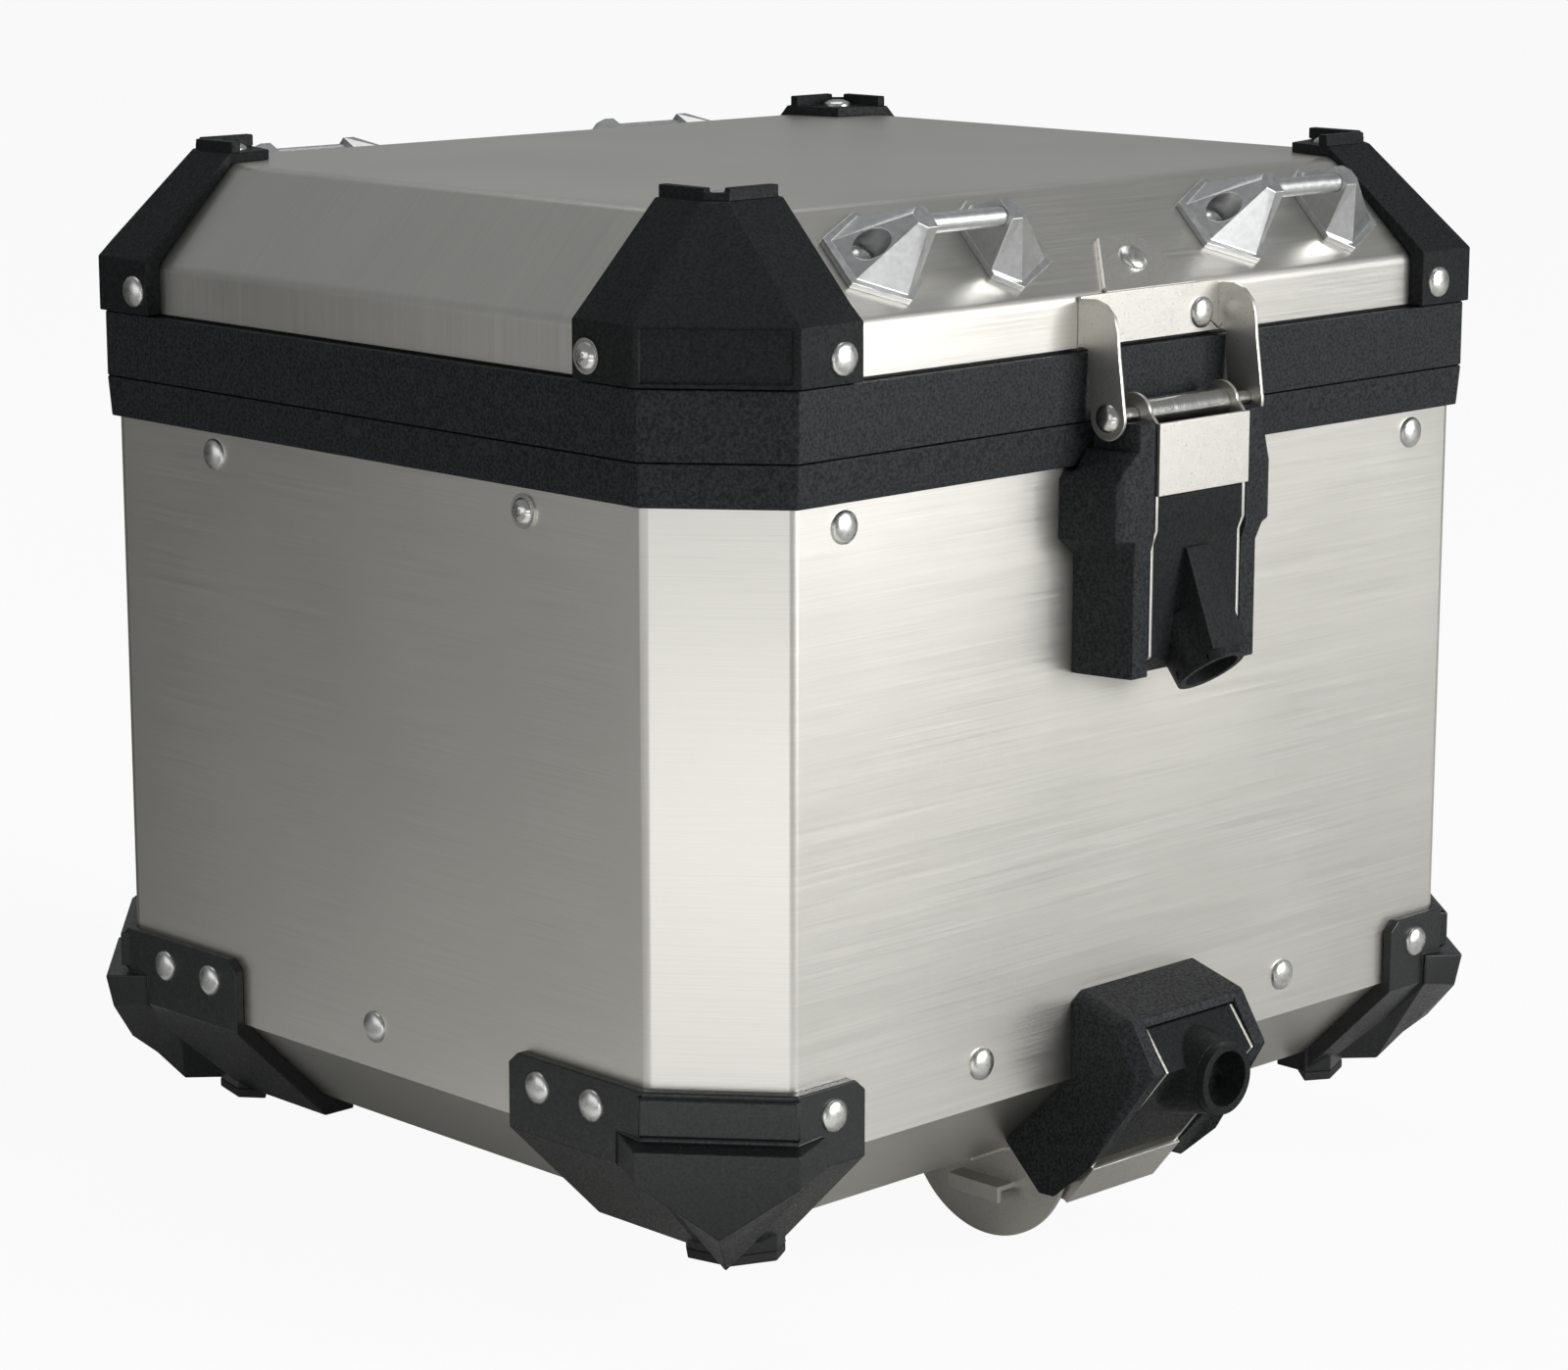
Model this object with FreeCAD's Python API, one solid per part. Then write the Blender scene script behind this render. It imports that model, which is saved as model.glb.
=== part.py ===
import FreeCAD, Part
import math
import os

# Top case for a motorcycle: a riveted sheet-metal box with a hinged lid, a lid latch and a base lock.
# Millimetres. X to the right seen from the latch side, Y to the rear, Z up.
# Origin: centre of the underside of the floor, the face that lies on the carrier.
# Heights in this file are counted from a level CREASE below the bend between walls and skirt;
# save() lifts every piece so that the underside of the floor comes to height zero.

# ---------------------------------------------------------------- driving dimensions
CASE_X = 421.6            # sheet-metal box, left to right
CASE_Y = 374.8            # sheet-metal box, front to rear
CORNER_X = 33.0           # corner chamfer, leg along X
CORNER_Y = 38.9           # corner chamfer, leg along Y
SHEET = 1.5               # sheet thickness
CREASE = 25.8             # height of the bend between walls and skirt
SKIRT = 37.0              # rise and run of the sloped skirt under the walls
SPLIT_Z = 269.4           # height of the joint between body and lid
FLANGE_H = 36.0           # upturned flange of the base pan
RIM_OUT = 4.2             # how far the rims stand out of the sheet
RIM_LEG = 2.5             # thickness of the rims' inner legs
BODY_RIM_H = 15.3         # visible height of the body rim
LID_RIM_H = 24.9          # visible height of the lid rim
RIM_LEG_DEPTH = 34.0      # inner leg of the body rim below the joint
LID_GAP = 0.4             # gap between the two rims
SEAL_RIB_H = 5.0          # rib of the body rim that meets the seal
LID_BAND_H = 44.0         # top of the lid's vertical band above the joint
LID_H = 80.0              # lid top above the joint
LID_TOP_X = 353.0         # flat top, left to right
LID_TOP_Y = 303.6         # flat top, front to rear
LID_TOP_CORNER = 8.0      # chamfer of the flat top, leg along X

FOOT_WALL = 4.0           # foot thickness over the wall
FOOT_TOP = 51.4
FOOT_BOTTOM = -19.1
PAD_H = 3.5
FOOT_FREE_X = 147.0       # inner edges of the feet
FOOT_FREE_Y = 80.0

GUARD_OUT = 6.2           # lid corner guard thickness over the band
GUARD_TOP = 4.0           # lid corner guard thickness on the flat top
GUARD_FREE_X = 151.5      # inner edges of the guards
GUARD_FREE_Y = 120.5

RIVET_HEAD_R = 6.0
RIVET_HEAD_H = 2.3
RIVET_SHANK_R = 2.4

HINGE_X = 110.0           # hinge centres, left and right of the middle
HINGE_W = 60.0
HINGE_OUT = 11.1          # hinge axis behind the rear wall
HINGE_LEAF = 2.0
HINGE_R = 5.0
HINGE_PIN_R = 2.5
RUN_FIT = 0.05            # radial play of turning parts

LATCH_PIN_OUT = 14.6      # latch pin axis in front of the front wall
LATCH_PIN_UP = 2.5        # latch pin axis above the joint
LEVER_HALF = 24.5         # half width of both levers over the cheeks
LEVER_SHEET = 1.5
POCKET_PLAY = 0.5         # side play of a lever in its housing
EYE_R = 8.0
PIN_R = 3.0
EAR_HALF = 38.3           # half width of the lid bracket over its ears
BOSS_R = 13.5             # key boss
BARREL_R = 10.3
PLUG_R = 6.5
KEY_TILT = 52.0           # tilt of the latch's key axis below the horizontal

LASH_X = 92.0             # lashing eye centres
LASH_HALF = 50.0
LASH_BAR_R = 3.5
LASH_BAR_UP = 18.0

V = FreeCAD.Vector
X_AXIS = V(1, 0, 0)
Y_AXIS = V(0, 1, 0)
Z_AXIS = V(0, 0, 1)
FRONT = -CASE_Y / 2
REAR = CASE_Y / 2
SIDE = CASE_X / 2
FLOOR_Z = CREASE - SKIRT


# ---------------------------------------------------------------- shape helpers
def octagon(half_x, half_y, leg_x, leg_y):
    """A rectangle with chamfered corners, kept as four numbers."""
    return (half_x, half_y, leg_x, leg_y)


def inset(shape, depth):
    """The same outline moved inwards by depth on all eight sides."""
    half_x, half_y, leg_x, leg_y = shape
    slant = math.hypot(leg_x, leg_y)
    new_x = leg_x - depth + depth * (slant - leg_x) / leg_y
    new_y = leg_y - depth + depth * (slant - leg_y) / leg_x
    return (half_x - depth, half_y - depth, new_x, new_y)


def corners(shape):
    """Corner points of an octagon, anticlockwise."""
    half_x, half_y, leg_x, leg_y = shape
    quarter = [(half_x, half_y - leg_y), (half_x - leg_x, half_y)]
    points = list(quarter)
    points += [(-x, y) for x, y in reversed(quarter)]
    points += [(-x, -y) for x, y in quarter]
    points += [(x, -y) for x, y in reversed(quarter)]
    return points


def face_of(points):
    """A flat face through 3-D points."""
    return Part.Face(Part.makePolygon(points + [points[0]]))


def flat_xy(points, z0, z1):
    """A plan outline raised from z0 to z1."""
    return face_of([V(x, y, z0) for x, y in points]).extrude(V(0, 0, z1 - z0))


def flat_yz(points, x0, x1):
    """A side profile drawn out from x0 to x1."""
    return face_of([V(x0, y, z) for y, z in points]).extrude(V(x1 - x0, 0, 0))


def prism(shape, z0, z1):
    return flat_xy(corners(shape), z0, z1)


def side_faces(a, b, c, d):
    """The side a-b-c-d as one flat face, or as two triangles when it is twisted."""
    normal = (b - a).cross(c - a)
    if abs((d - a).dot(normal)) < 1e-6 * normal.Length:
        return [face_of([a, b, c, d])]
    return [face_of([a, b, c]), face_of([a, c, d])]


def loft(first, second):
    """A solid with flat sides between two outlines of equally many 3-D points."""
    count = len(first)
    faces = [face_of(first), face_of(second)]
    for i in range(count):
        j = (i + 1) % count
        faces += side_faces(first[i], first[j], second[j], second[i])
    solid = Part.makeSolid(Part.makeShell(faces))
    if solid.Volume < 0:
        solid.reverse()
    return solid


def taper(shape0, z0, shape1, z1):
    lower = [V(x, y, z0) for x, y in corners(shape0)]
    upper = [V(x, y, z1) for x, y in corners(shape1)]
    return loft(lower, upper)


def box(x0, x1, y0, y1, z0, z1):
    return Part.makeBox(x1 - x0, y1 - y0, z1 - z0, V(x0, y0, z0))


def rod(radius, start, along, length):
    return Part.makeCylinder(radius, length, start, along)


def joined(shapes):
    whole = shapes[0].fuse(shapes[1:])
    return whole.removeSplitter()


def without(shape, tools):
    return shape.cut(tools)


def in_x(shape):
    """The mirror image on the other side of the middle plane."""
    return shape.mirror(V(0, 0, 0), X_AXIS)


def in_y(shape):
    return shape.mirror(V(0, 0, 0), Y_AXIS)


def turned(shape, along):
    """A shape built along Z, turned so that its Z points along the given direction."""
    copy = shape.copy()
    copy.Placement = FreeCAD.Placement(V(0, 0, 0), FreeCAD.Rotation(Z_AXIS, along))
    return copy


def save(name, shapes):
    """Write one node, lifted onto the floor's underside; several solids become one group."""
    solids = shapes if isinstance(shapes, list) else [shapes]
    lifted = [solid.translated(V(0, 0, -FLOOR_Z)) for solid in solids]
    shape = lifted[0] if len(lifted) == 1 else Part.makeCompound(lifted)
    shape.exportStep("parts/" + name + ".step")


# ---------------------------------------------------------------- fasteners
def dome(radius, height):
    """A domed head on the plane z = 0, with a short upright edge and a small flat crown."""
    edge = 0.35
    crown = 0.3
    middle = V(radius * 0.62, 0, edge + (height - edge) * 0.72)
    arc = Part.Arc(V(radius, 0, edge), middle, V(crown, 0, height)).toShape()
    lines = [
        Part.makeLine(V(crown, 0, height), V(0, 0, height)),
        Part.makeLine(V(0, 0, height), V(0, 0, 0)),
        Part.makeLine(V(0, 0, 0), V(radius, 0, 0)),
        Part.makeLine(V(radius, 0, 0), V(radius, 0, edge)),
    ]
    profile = Part.Face(Part.Wire([arc] + lines))
    return profile.revolve(V(0, 0, 0), Z_AXIS, 360)


def rivet(place, out, grip, head_r=RIVET_HEAD_R, head_h=RIVET_HEAD_H):
    """A blind rivet: domed head outside at place, shank and set end inside."""
    shape = joined([
        dome(head_r, head_h),
        rod(RIVET_SHANK_R, V(0, 0, -grip - 1), Z_AXIS, grip + 1),
        rod(RIVET_SHANK_R + 1.4, V(0, 0, -grip - 2.2), Z_AXIS, 2.2),
    ])
    return turned(shape, out).translated(place)


def star_screw(place, out, grip):
    """A flanged button screw with a star socket, and its nut inside."""
    head = joined([
        rod(6.2, V(0, 0, 0), Z_AXIS, 1.0),
        dome(4.8, 2.6).translated(V(0, 0, 1.0)),
    ])
    lobes = [rod(0.55, V(1.35 * math.cos(a), 1.35 * math.sin(a), 1.6), Z_AXIS, 3)
             for a in [math.radians(60 * i) for i in range(6)]]
    head = without(head, [rod(1.45, V(0, 0, 1.6), Z_AXIS, 3)] + lobes)
    nut_points = [(4.6 * math.cos(math.radians(60 * i)), 4.6 * math.sin(math.radians(60 * i)))
                  for i in range(6)]
    shape = joined([
        head,
        rod(RIVET_SHANK_R, V(0, 0, -grip - 4), Z_AXIS, grip + 4.5),
        flat_xy(nut_points, -grip - 3.5, -grip),
    ])
    return turned(shape, out).translated(place)


def pan_screw(place, inward, length):
    """A screw set from inside the box: flat round head at place, shank going out."""
    shape = joined([
        rod(4.2, V(0, 0, 0), Z_AXIS, 2.6),
        rod(2.0, V(0, 0, -length), Z_AXIS, length + 1),
    ])
    return turned(shape, inward).translated(place)


def shank(place, out, depth, radius=RIVET_SHANK_R):
    """The hole of a fastener: from just outside its head down to depth."""
    return rod(radius, place + out * 0.5, out * -1, depth + 0.5)


def side_spots(values, z, offset):
    """Fastener seats on the left and right walls."""
    spots = []
    for y in values:
        spots.append((V(SIDE + offset, y, z), X_AXIS))
        spots.append((V(-SIDE - offset, y, z), X_AXIS * -1))
    return spots


def end_spots(values, z, offset):
    """Fastener seats on the front and rear walls."""
    spots = []
    for x in values:
        spots.append((V(x, FRONT - offset, z), Y_AXIS * -1))
        spots.append((V(x, REAR + offset, z), Y_AXIS))
    return spots


# ---------------------------------------------------------------- outlines shared by many pieces
BODY = octagon(CASE_X / 2, CASE_Y / 2, CORNER_X, CORNER_Y)
INNER = inset(BODY, SHEET)
COLLAR = inset(BODY, -RIM_OUT)
LEG_INNER = inset(BODY, SHEET + RIM_LEG)
LID_TOP = octagon(LID_TOP_X / 2, LID_TOP_Y / 2, LID_TOP_CORNER, LID_TOP_CORNER * CORNER_Y / CORNER_X)

# ---------------------------------------------------------------- fastener seats
RIM_SPOT_Z = SPLIT_Z - 24.0
RIM_RIVETS = end_spots([-154.5, 154.5], RIM_SPOT_Z, 0) + side_spots([89.0], RIM_SPOT_Z, 0)
RIM_SCREWS = side_spots([-88.0], RIM_SPOT_Z, 0)
RIM_GRIP = SHEET + RIM_LEG

WALL_SPOT_Z = 42.0
WALL_RIVETS = end_spots([-84.2, 84.2], WALL_SPOT_Z, 0) + side_spots([0.0], WALL_SPOT_Z, 0)
WALL_GRIP = 2 * SHEET

FOOT_SPOT_Z = 41.0
FOOT_RIVETS = (end_spots([-162.5, 162.5], FOOT_SPOT_Z, FOOT_WALL)
               + side_spots([-124.5, -96.0, 96.0, 124.5], FOOT_SPOT_Z, FOOT_WALL))
FOOT_GRIP = FOOT_WALL + 2 * SHEET

GUARD_SPOT_Z = SPLIT_Z + 34.2
GUARD_RIVETS = (end_spots([-161.0, 161.0], GUARD_SPOT_Z, GUARD_OUT)
                + side_spots([128.5], GUARD_SPOT_Z, GUARD_OUT))
GUARD_SCREWS = side_spots([-128.5], GUARD_SPOT_Z, GUARD_OUT)
GUARD_GRIP = GUARD_OUT + SHEET + RIM_LEG
GUARD_TOP_Z = SPLIT_Z + LID_H + GUARD_TOP
GUARD_TOP_RIVETS = [(V(x, y, GUARD_TOP_Z), Z_AXIS) for x in (-164.0, 164.0) for y in (-136.5, 136.5)]
GUARD_TOP_GRIP = GUARD_TOP + SHEET

HINGE_GRIP = HINGE_LEAF + SHEET + RIM_LEG
HINGE_BODY_Z = SPLIT_Z - 27.0
HINGE_LID_Z = SPLIT_Z + 36.0
HINGE_SPOTS_X = [side * HINGE_X + step for side in (-1, 1) for step in (-20.0, 0.0, 20.0)]
HINGE_BODY_RIVETS = [(V(x, REAR + HINGE_LEAF, HINGE_BODY_Z), Y_AXIS) for x in HINGE_SPOTS_X]
HINGE_LID_RIVETS = [(V(x, REAR + HINGE_LEAF, HINGE_LID_Z), Y_AXIS) for x in HINGE_SPOTS_X]

BRACKET_PLATE = 2.0
PLATE_FRONT = FRONT + SHEET + SKIRT + 2.5
PLATE_DEPTH = 52.0
BRACKET_RIVETS = [(V(x, PLATE_FRONT + y, FLOOR_Z - BRACKET_PLATE), Z_AXIS * -1)
                  for x in (-37.0, 37.0) for y in (8.0, PLATE_DEPTH - 10.0)]
FLOOR_PLATE = 2.0
BRACKET_GRIP = BRACKET_PLATE + SHEET + FLOOR_PLATE

BACKING = 2.0
LATCH_BACK_Y = FRONT + SHEET + BACKING
LATCH_SCREWS = [V(x, LATCH_BACK_Y, SPLIT_Z + z) for x in (-31.0, 31.0) for z in (-46.0, -80.0)]
CATCH_SCREWS = [V(x, LATCH_BACK_Y, SPLIT_Z - 86.0) for x in (-5.5, 5.5)]
BASE_BACK_Y = FRONT + 2 * SHEET + BACKING
BASE_SCREWS = ([V(x, BASE_BACK_Y, 38.4) for x in (-31.0, 31.0)]
               + [V(x, BASE_BACK_Y, 54.0) for x in (-18.0, 18.0)])
BASE_CATCH_SCREWS = [V(x, BASE_BACK_Y, 42.4) for x in (-5.5, 5.5)]
HOUSING_SCREW_L = 12.0
CATCH_SCREW_L = 9.5


def holes(spots, depth):
    return [shank(place, out, depth) for place, out in spots]


SCREW_HOLES = ([shank(p, Y_AXIS, HOUSING_SCREW_L, 2.0) for p in LATCH_SCREWS + BASE_SCREWS]
               + [shank(p, Y_AXIS, CATCH_SCREW_L, 2.0) for p in CATCH_SCREWS + BASE_CATCH_SCREWS])


# ---------------------------------------------------------------- case body
def body_walls():
    """Eight-sided tube of sheet, open at both ends; the body rim caps its top edge."""
    top = SPLIT_Z - RIM_LEG
    tube = without(prism(BODY, CREASE, top), [prism(INNER, CREASE - 1, top + 1)])
    cuts = holes(RIM_RIVETS + RIM_SCREWS, RIM_GRIP) + holes(WALL_RIVETS, WALL_GRIP)
    cuts += holes(FOOT_RIVETS, FOOT_GRIP) + holes(HINGE_BODY_RIVETS, HINGE_GRIP) + SCREW_HOLES
    return without(tube, cuts)


def pan_outer():
    """Outside of the base pan: sloped skirt below, upright flange inside the walls above."""
    bottom = inset(BODY, SHEET + SKIRT)
    return joined([taper(bottom, FLOOR_Z, INNER, CREASE), prism(INNER, CREASE, CREASE + FLANGE_H)])


def base_pan():
    slope_in = SHEET * math.sqrt(2)
    floor = inset(BODY, SHEET + SKIRT - SHEET + slope_in)
    bend = CREASE + slope_in - SHEET
    inside = joined([
        taper(floor, FLOOR_Z + SHEET, inset(BODY, 2 * SHEET), bend),
        prism(inset(BODY, 2 * SHEET), bend, CREASE + FLANGE_H + 1),
    ])
    cuts = holes(WALL_RIVETS, WALL_GRIP) + holes(FOOT_RIVETS, FOOT_GRIP)
    cuts += holes(BRACKET_RIVETS, BRACKET_GRIP) + SCREW_HOLES
    return without(pan_outer(), [inside] + cuts)


def body_rim():
    """Moulded rim: outer skirt with a little draft, cap, long inner leg and the sealing rib."""
    low = SPLIT_Z - BODY_RIM_H
    skirt = taper(inset(BODY, -RIM_OUT + 1.2), low, COLLAR, SPLIT_Z)
    leg = prism(INNER, SPLIT_Z - RIM_LEG_DEPTH, SPLIT_Z)
    rib = prism(inset(BODY, -0.4), SPLIT_Z - 1, SPLIT_Z + SEAL_RIB_H)
    rib = without(rib, [prism(inset(BODY, 1.6), SPLIT_Z, SPLIT_Z + SEAL_RIB_H + 1)])
    whole = joined([skirt, leg, rib])
    wall_slot = prism(BODY, SPLIT_Z - RIM_LEG_DEPTH - 1, SPLIT_Z - RIM_LEG)
    wall_slot = without(wall_slot, [prism(INNER, SPLIT_Z - RIM_LEG_DEPTH - 2, SPLIT_Z)])
    bore = prism(LEG_INNER, SPLIT_Z - RIM_LEG_DEPTH - 1, SPLIT_Z + SEAL_RIB_H + 1)
    cuts = holes(RIM_RIVETS + RIM_SCREWS, RIM_GRIP) + holes(HINGE_BODY_RIVETS, HINGE_GRIP)
    return without(whole, [wall_slot, bore] + cuts)


def corner_frame():
    """Middle, outward normal and tangent of the chamfer of the right rear corner."""
    slant = math.hypot(CORNER_X, CORNER_Y)
    middle = V(SIDE - CORNER_X / 2, REAR - CORNER_Y / 2, 0)
    return middle, V(CORNER_Y / slant, CORNER_X / slant, 0), V(-CORNER_X / slant, CORNER_Y / slant, 0)


def corner_point(out, along, z):
    middle, normal, tangent = corner_frame()
    return middle + normal * out + tangent * along + V(0, 0, z)


PAD_OUTLINE = [(-29, 0), (-37, 16), (-48, 18), (-48, -18), (-37, -16)]


def five_sided(half, top, side, low, out, lean=0.0):
    """A five-sided outline across the corner, pointed below, given out from the chamfer."""
    spots = [(-half, top), (half, top), (half, side), (0, low), (-half, side)]
    return [corner_point(out + lean * (z - low), w, z) for w, z in spots]


def foot():
    """Foot of the right rear corner: wraps wall and skirt, with a proud five-sided block."""
    outside = inset(BODY, -FOOT_WALL)
    bend = CREASE - 2.8
    low = inset(outside, bend - FOOT_BOTTOM)
    wrap = joined([prism(outside, bend, FOOT_TOP), taper(low, FOOT_BOTTOM, outside, bend)])
    plan = flat_xy([(FOOT_FREE_X, FOOT_FREE_Y), (SIDE + 30, FOOT_FREE_Y),
                    (SIDE + 30, REAR + 30), (FOOT_FREE_X, REAR + 30)], FOOT_BOTTOM - 5, FOOT_TOP + 5)
    wrap = wrap.common(plan)
    band_root = ((-29, 34.6), (29, 34.6), (29, 50.4), (-29, 50.4))
    band_top = ((-27.3, 36.2), (27.3, 36.2), (27.3, 49.4), (-27.3, 49.4))
    band = loft([corner_point(-2, w, z) for w, z in band_root],
                [corner_point(6.4, w, z) for w, z in band_top])
    face = five_sided(28.6, 32.4, 19.9, -1.0, 5.5, 0.2126)
    brow = five_sided(36.5, 34.4, 22.8, -8.0, -4.0)
    chin = five_sided(20.0, 34.0, 5.0, FOOT_BOTTOM, -15.0)
    heel = five_sided(20.0, 34.0, 5.0, FOOT_BOTTOM, -48.0)
    stem_lines = [corner_point(out, w, 0) for out, w in PAD_OUTLINE]
    stem = flat_xy([(p.x, p.y) for p in stem_lines], FOOT_BOTTOM, FLOOR_Z + 12)
    whole = joined([wrap, band, loft(face, brow), loft(brow, chin), loft(chin, heel), stem])
    inner_column = prism(inset(BODY, 52), FOOT_BOTTOM - 1, 60)
    wall_room = prism(BODY, CREASE, FOOT_TOP + 20)
    snip_end = 5.0
    snips = [
        flat_yz([(FOOT_FREE_Y - 1, FOOT_TOP - snip_end), (FOOT_FREE_Y + snip_end + 1, FOOT_TOP + 1),
                 (FOOT_FREE_Y - 1, FOOT_TOP + 1)], SIDE - 5, SIDE + 30),
        face_of([V(FOOT_FREE_X - 1, REAR - 5, FOOT_TOP - snip_end),
                 V(FOOT_FREE_X + snip_end + 1, REAR - 5, FOOT_TOP + 1),
                 V(FOOT_FREE_X - 1, REAR - 5, FOOT_TOP + 1)]).extrude(V(0, 40, 0)),
    ]
    whole = without(whole, [inner_column, wall_room, pan_outer()] + snips)
    return without(whole, holes(FOOT_RIVETS, FOOT_GRIP))


def pad():
    points = [corner_point(out, w, 0) for out, w in PAD_OUTLINE]
    return flat_xy([(p.x, p.y) for p in points], FOOT_BOTTOM - PAD_H, FOOT_BOTTOM)


def floor_plate():
    plate = box(-60, 60, PLATE_FRONT + 0.5, PLATE_FRONT + PLATE_DEPTH + 2, FLOOR_Z + SHEET,
                FLOOR_Z + SHEET + FLOOR_PLATE)
    return without(plate, holes(BRACKET_RIVETS, BRACKET_GRIP))


# ---------------------------------------------------------------- lid
def lid_outer():
    band = prism(BODY, SPLIT_Z + LID_RIM_H + 1.0, SPLIT_Z + LID_BAND_H)
    roof = taper(BODY, SPLIT_Z + LID_BAND_H, LID_TOP, SPLIT_Z + LID_H)
    return joined([band, roof])


def lid_shell():
    rise = LID_H - LID_BAND_H
    part = SHEET / rise
    near_top = tuple(t + (b - t) * part for t, b in zip(LID_TOP, BODY))
    bend = SPLIT_Z + LID_BAND_H - SHEET * 0.42
    inside = joined([
        prism(INNER, SPLIT_Z + LID_RIM_H - 1, bend),
        taper(INNER, bend, inset(near_top, SHEET * 1.41), SPLIT_Z + LID_H - SHEET),
    ])
    cuts = holes(GUARD_RIVETS + GUARD_SCREWS, GUARD_GRIP) + holes(GUARD_TOP_RIVETS, GUARD_TOP_GRIP)
    cuts += holes(HINGE_LID_RIVETS, HINGE_GRIP) + holes(STRIKE_BAND_RIVETS, STRIKE_BAND_GRIP)
    cuts += holes(STRIKE_SLOPE_RIVETS, STRIKE_SLOPE_GRIP) + holes(LASH_RIVETS, LASH_GRIP)
    return without(lid_outer(), [inside] + cuts)


SEAL_OUT = inset(BODY, -1.0)
SEAL_IN = inset(BODY, 2.2)
SEAL_TOP = 12.0


def lid_rim():
    """Moulded rim of the lid with the seal channel and an inner leg behind the sheet."""
    low = SPLIT_Z + LID_GAP
    skirt = prism(COLLAR, low, SPLIT_Z + LID_RIM_H)
    leg = prism(INNER, SPLIT_Z + 6, SPLIT_Z + LID_BAND_H - 2)
    whole = joined([skirt, leg])
    channel = prism(SEAL_OUT, SPLIT_Z, SPLIT_Z + SEAL_TOP)
    channel = without(channel, [prism(SEAL_IN, SPLIT_Z + 6, SPLIT_Z + SEAL_TOP + 1)])
    bore = prism(LEG_INNER, SPLIT_Z - 1, SPLIT_Z + LID_BAND_H)
    cuts = holes(GUARD_RIVETS + GUARD_SCREWS, GUARD_GRIP)
    cuts += holes(HINGE_LID_RIVETS, HINGE_GRIP) + holes(STRIKE_BAND_RIVETS, STRIKE_BAND_GRIP)
    return without(whole, [channel, bore] + cuts)


def lid_seal():
    ring = prism(SEAL_OUT, SPLIT_Z + SEAL_RIB_H + LID_GAP, SPLIT_Z + SEAL_TOP)
    return without(ring, [prism(SEAL_IN, SPLIT_Z, SPLIT_Z + SEAL_TOP + 1)])


def guard():
    """Corner guard of the right rear corner of the lid."""
    outside = inset(BODY, -GUARD_OUT)
    low = SPLIT_Z + LID_RIM_H + 0.6
    bend = SPLIT_Z + LID_BAND_H + 2
    top_x = LID_TOP_X / 2 + 1.3
    top_y = LID_TOP_Y / 2 - 1.8
    top = octagon(top_x, top_y, 6.0, 6.0 * outside[3] / outside[2])
    whole = joined([prism(outside, low, bend), taper(outside, bend, top, GUARD_TOP_Z)])
    plan = [(SIDE + 20, GUARD_FREE_Y), (SIDE + 20, REAR + 20), (GUARD_FREE_X, REAR + 20),
            (GUARD_FREE_X, REAR), (GUARD_FREE_X - 5.0, top_y),
            (top_x - 24.0, top_y - 24.0), (top_x, GUARD_FREE_Y - 1.0), (SIDE, GUARD_FREE_Y)]
    whole = whole.common(flat_xy(plan, low - 1, GUARD_TOP_Z + 1))
    lip_h = 4.3
    lip_w = 4.2
    arm = 29.0
    edge_x = top_x - 1.5
    edge_y = top_y - 1.5
    nick = 6.0
    lips = [
        flat_xy([(edge_x, edge_y - nick), (edge_x, edge_y - arm), (edge_x - lip_w, edge_y - arm),
                 (edge_x - lip_w, edge_y - nick - 1.5)], GUARD_TOP_Z, GUARD_TOP_Z + lip_h),
        flat_xy([(edge_x - nick, edge_y), (edge_x - arm, edge_y), (edge_x - arm, edge_y - lip_w),
                 (edge_x - nick - 1.5, edge_y - lip_w)], GUARD_TOP_Z, GUARD_TOP_Z + lip_h),
        flat_xy([(edge_x, edge_y - nick), (edge_x - lip_w, edge_y - nick - 1.5),
                 (edge_x - nick - 1.5, edge_y - lip_w), (edge_x - nick, edge_y)],
                GUARD_TOP_Z, GUARD_TOP_Z + lip_h - 1.6),
    ]
    whole = joined([whole] + lips)
    spots = [(-25.5, low + 2.0), (25.5, low + 2.0), (25.5, bend - 0.6), (-25.5, bend - 0.6)]
    recess = loft([corner_point(GUARD_OUT - 0.8, w, z) for w, z in spots],
                  [corner_point(GUARD_OUT + 4.0, w, z) for w, z in spots])
    cuts = holes(GUARD_RIVETS + GUARD_SCREWS, GUARD_GRIP) + holes(GUARD_TOP_RIVETS, GUARD_TOP_GRIP)
    return without(whole, [lid_outer(), prism(BODY, low - 2, bend - 4), recess] + cuts)


# ---------------------------------------------------------------- slopes of the lid and what sits on them
SLOPE_RUN = (CASE_Y - LID_TOP_Y) / 2
SLOPE_RISE = LID_H - LID_BAND_H
SLOPE_ANGLE = math.atan2(SLOPE_RISE, SLOPE_RUN)
SLOPE_HALF = math.hypot(SLOPE_RUN, SLOPE_RISE) / 2
SLOPE_MID = V(0, FRONT + SLOPE_RUN / 2, SPLIT_Z + LID_BAND_H + SLOPE_RISE / 2)
SLOPE_NORMAL = V(0, -math.sin(SLOPE_ANGLE), math.cos(SLOPE_ANGLE))
SLOPE_UP = V(0, math.cos(SLOPE_ANGLE), math.sin(SLOPE_ANGLE))


def slope_point(across, up, height):
    """A point given across, up and above the front slope."""
    return SLOPE_MID + X_AXIS * across + SLOPE_UP * up + SLOPE_NORMAL * height


def slope_plate(points, h0, h1):
    """An outline on the front slope, given thickness along the slope's normal."""
    flat = face_of([slope_point(u, v, h0) for u, v in points])
    return flat.extrude(SLOPE_NORMAL * (h1 - h0))


LASH_SLAB = 2.5
LASH_RIVET_U = 39.0
SET_ROOM = 0.1            # between the slopes' inner faces and the set ends of their rivets
LASH_GRIP = LASH_SLAB + SHEET + SET_ROOM


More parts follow.
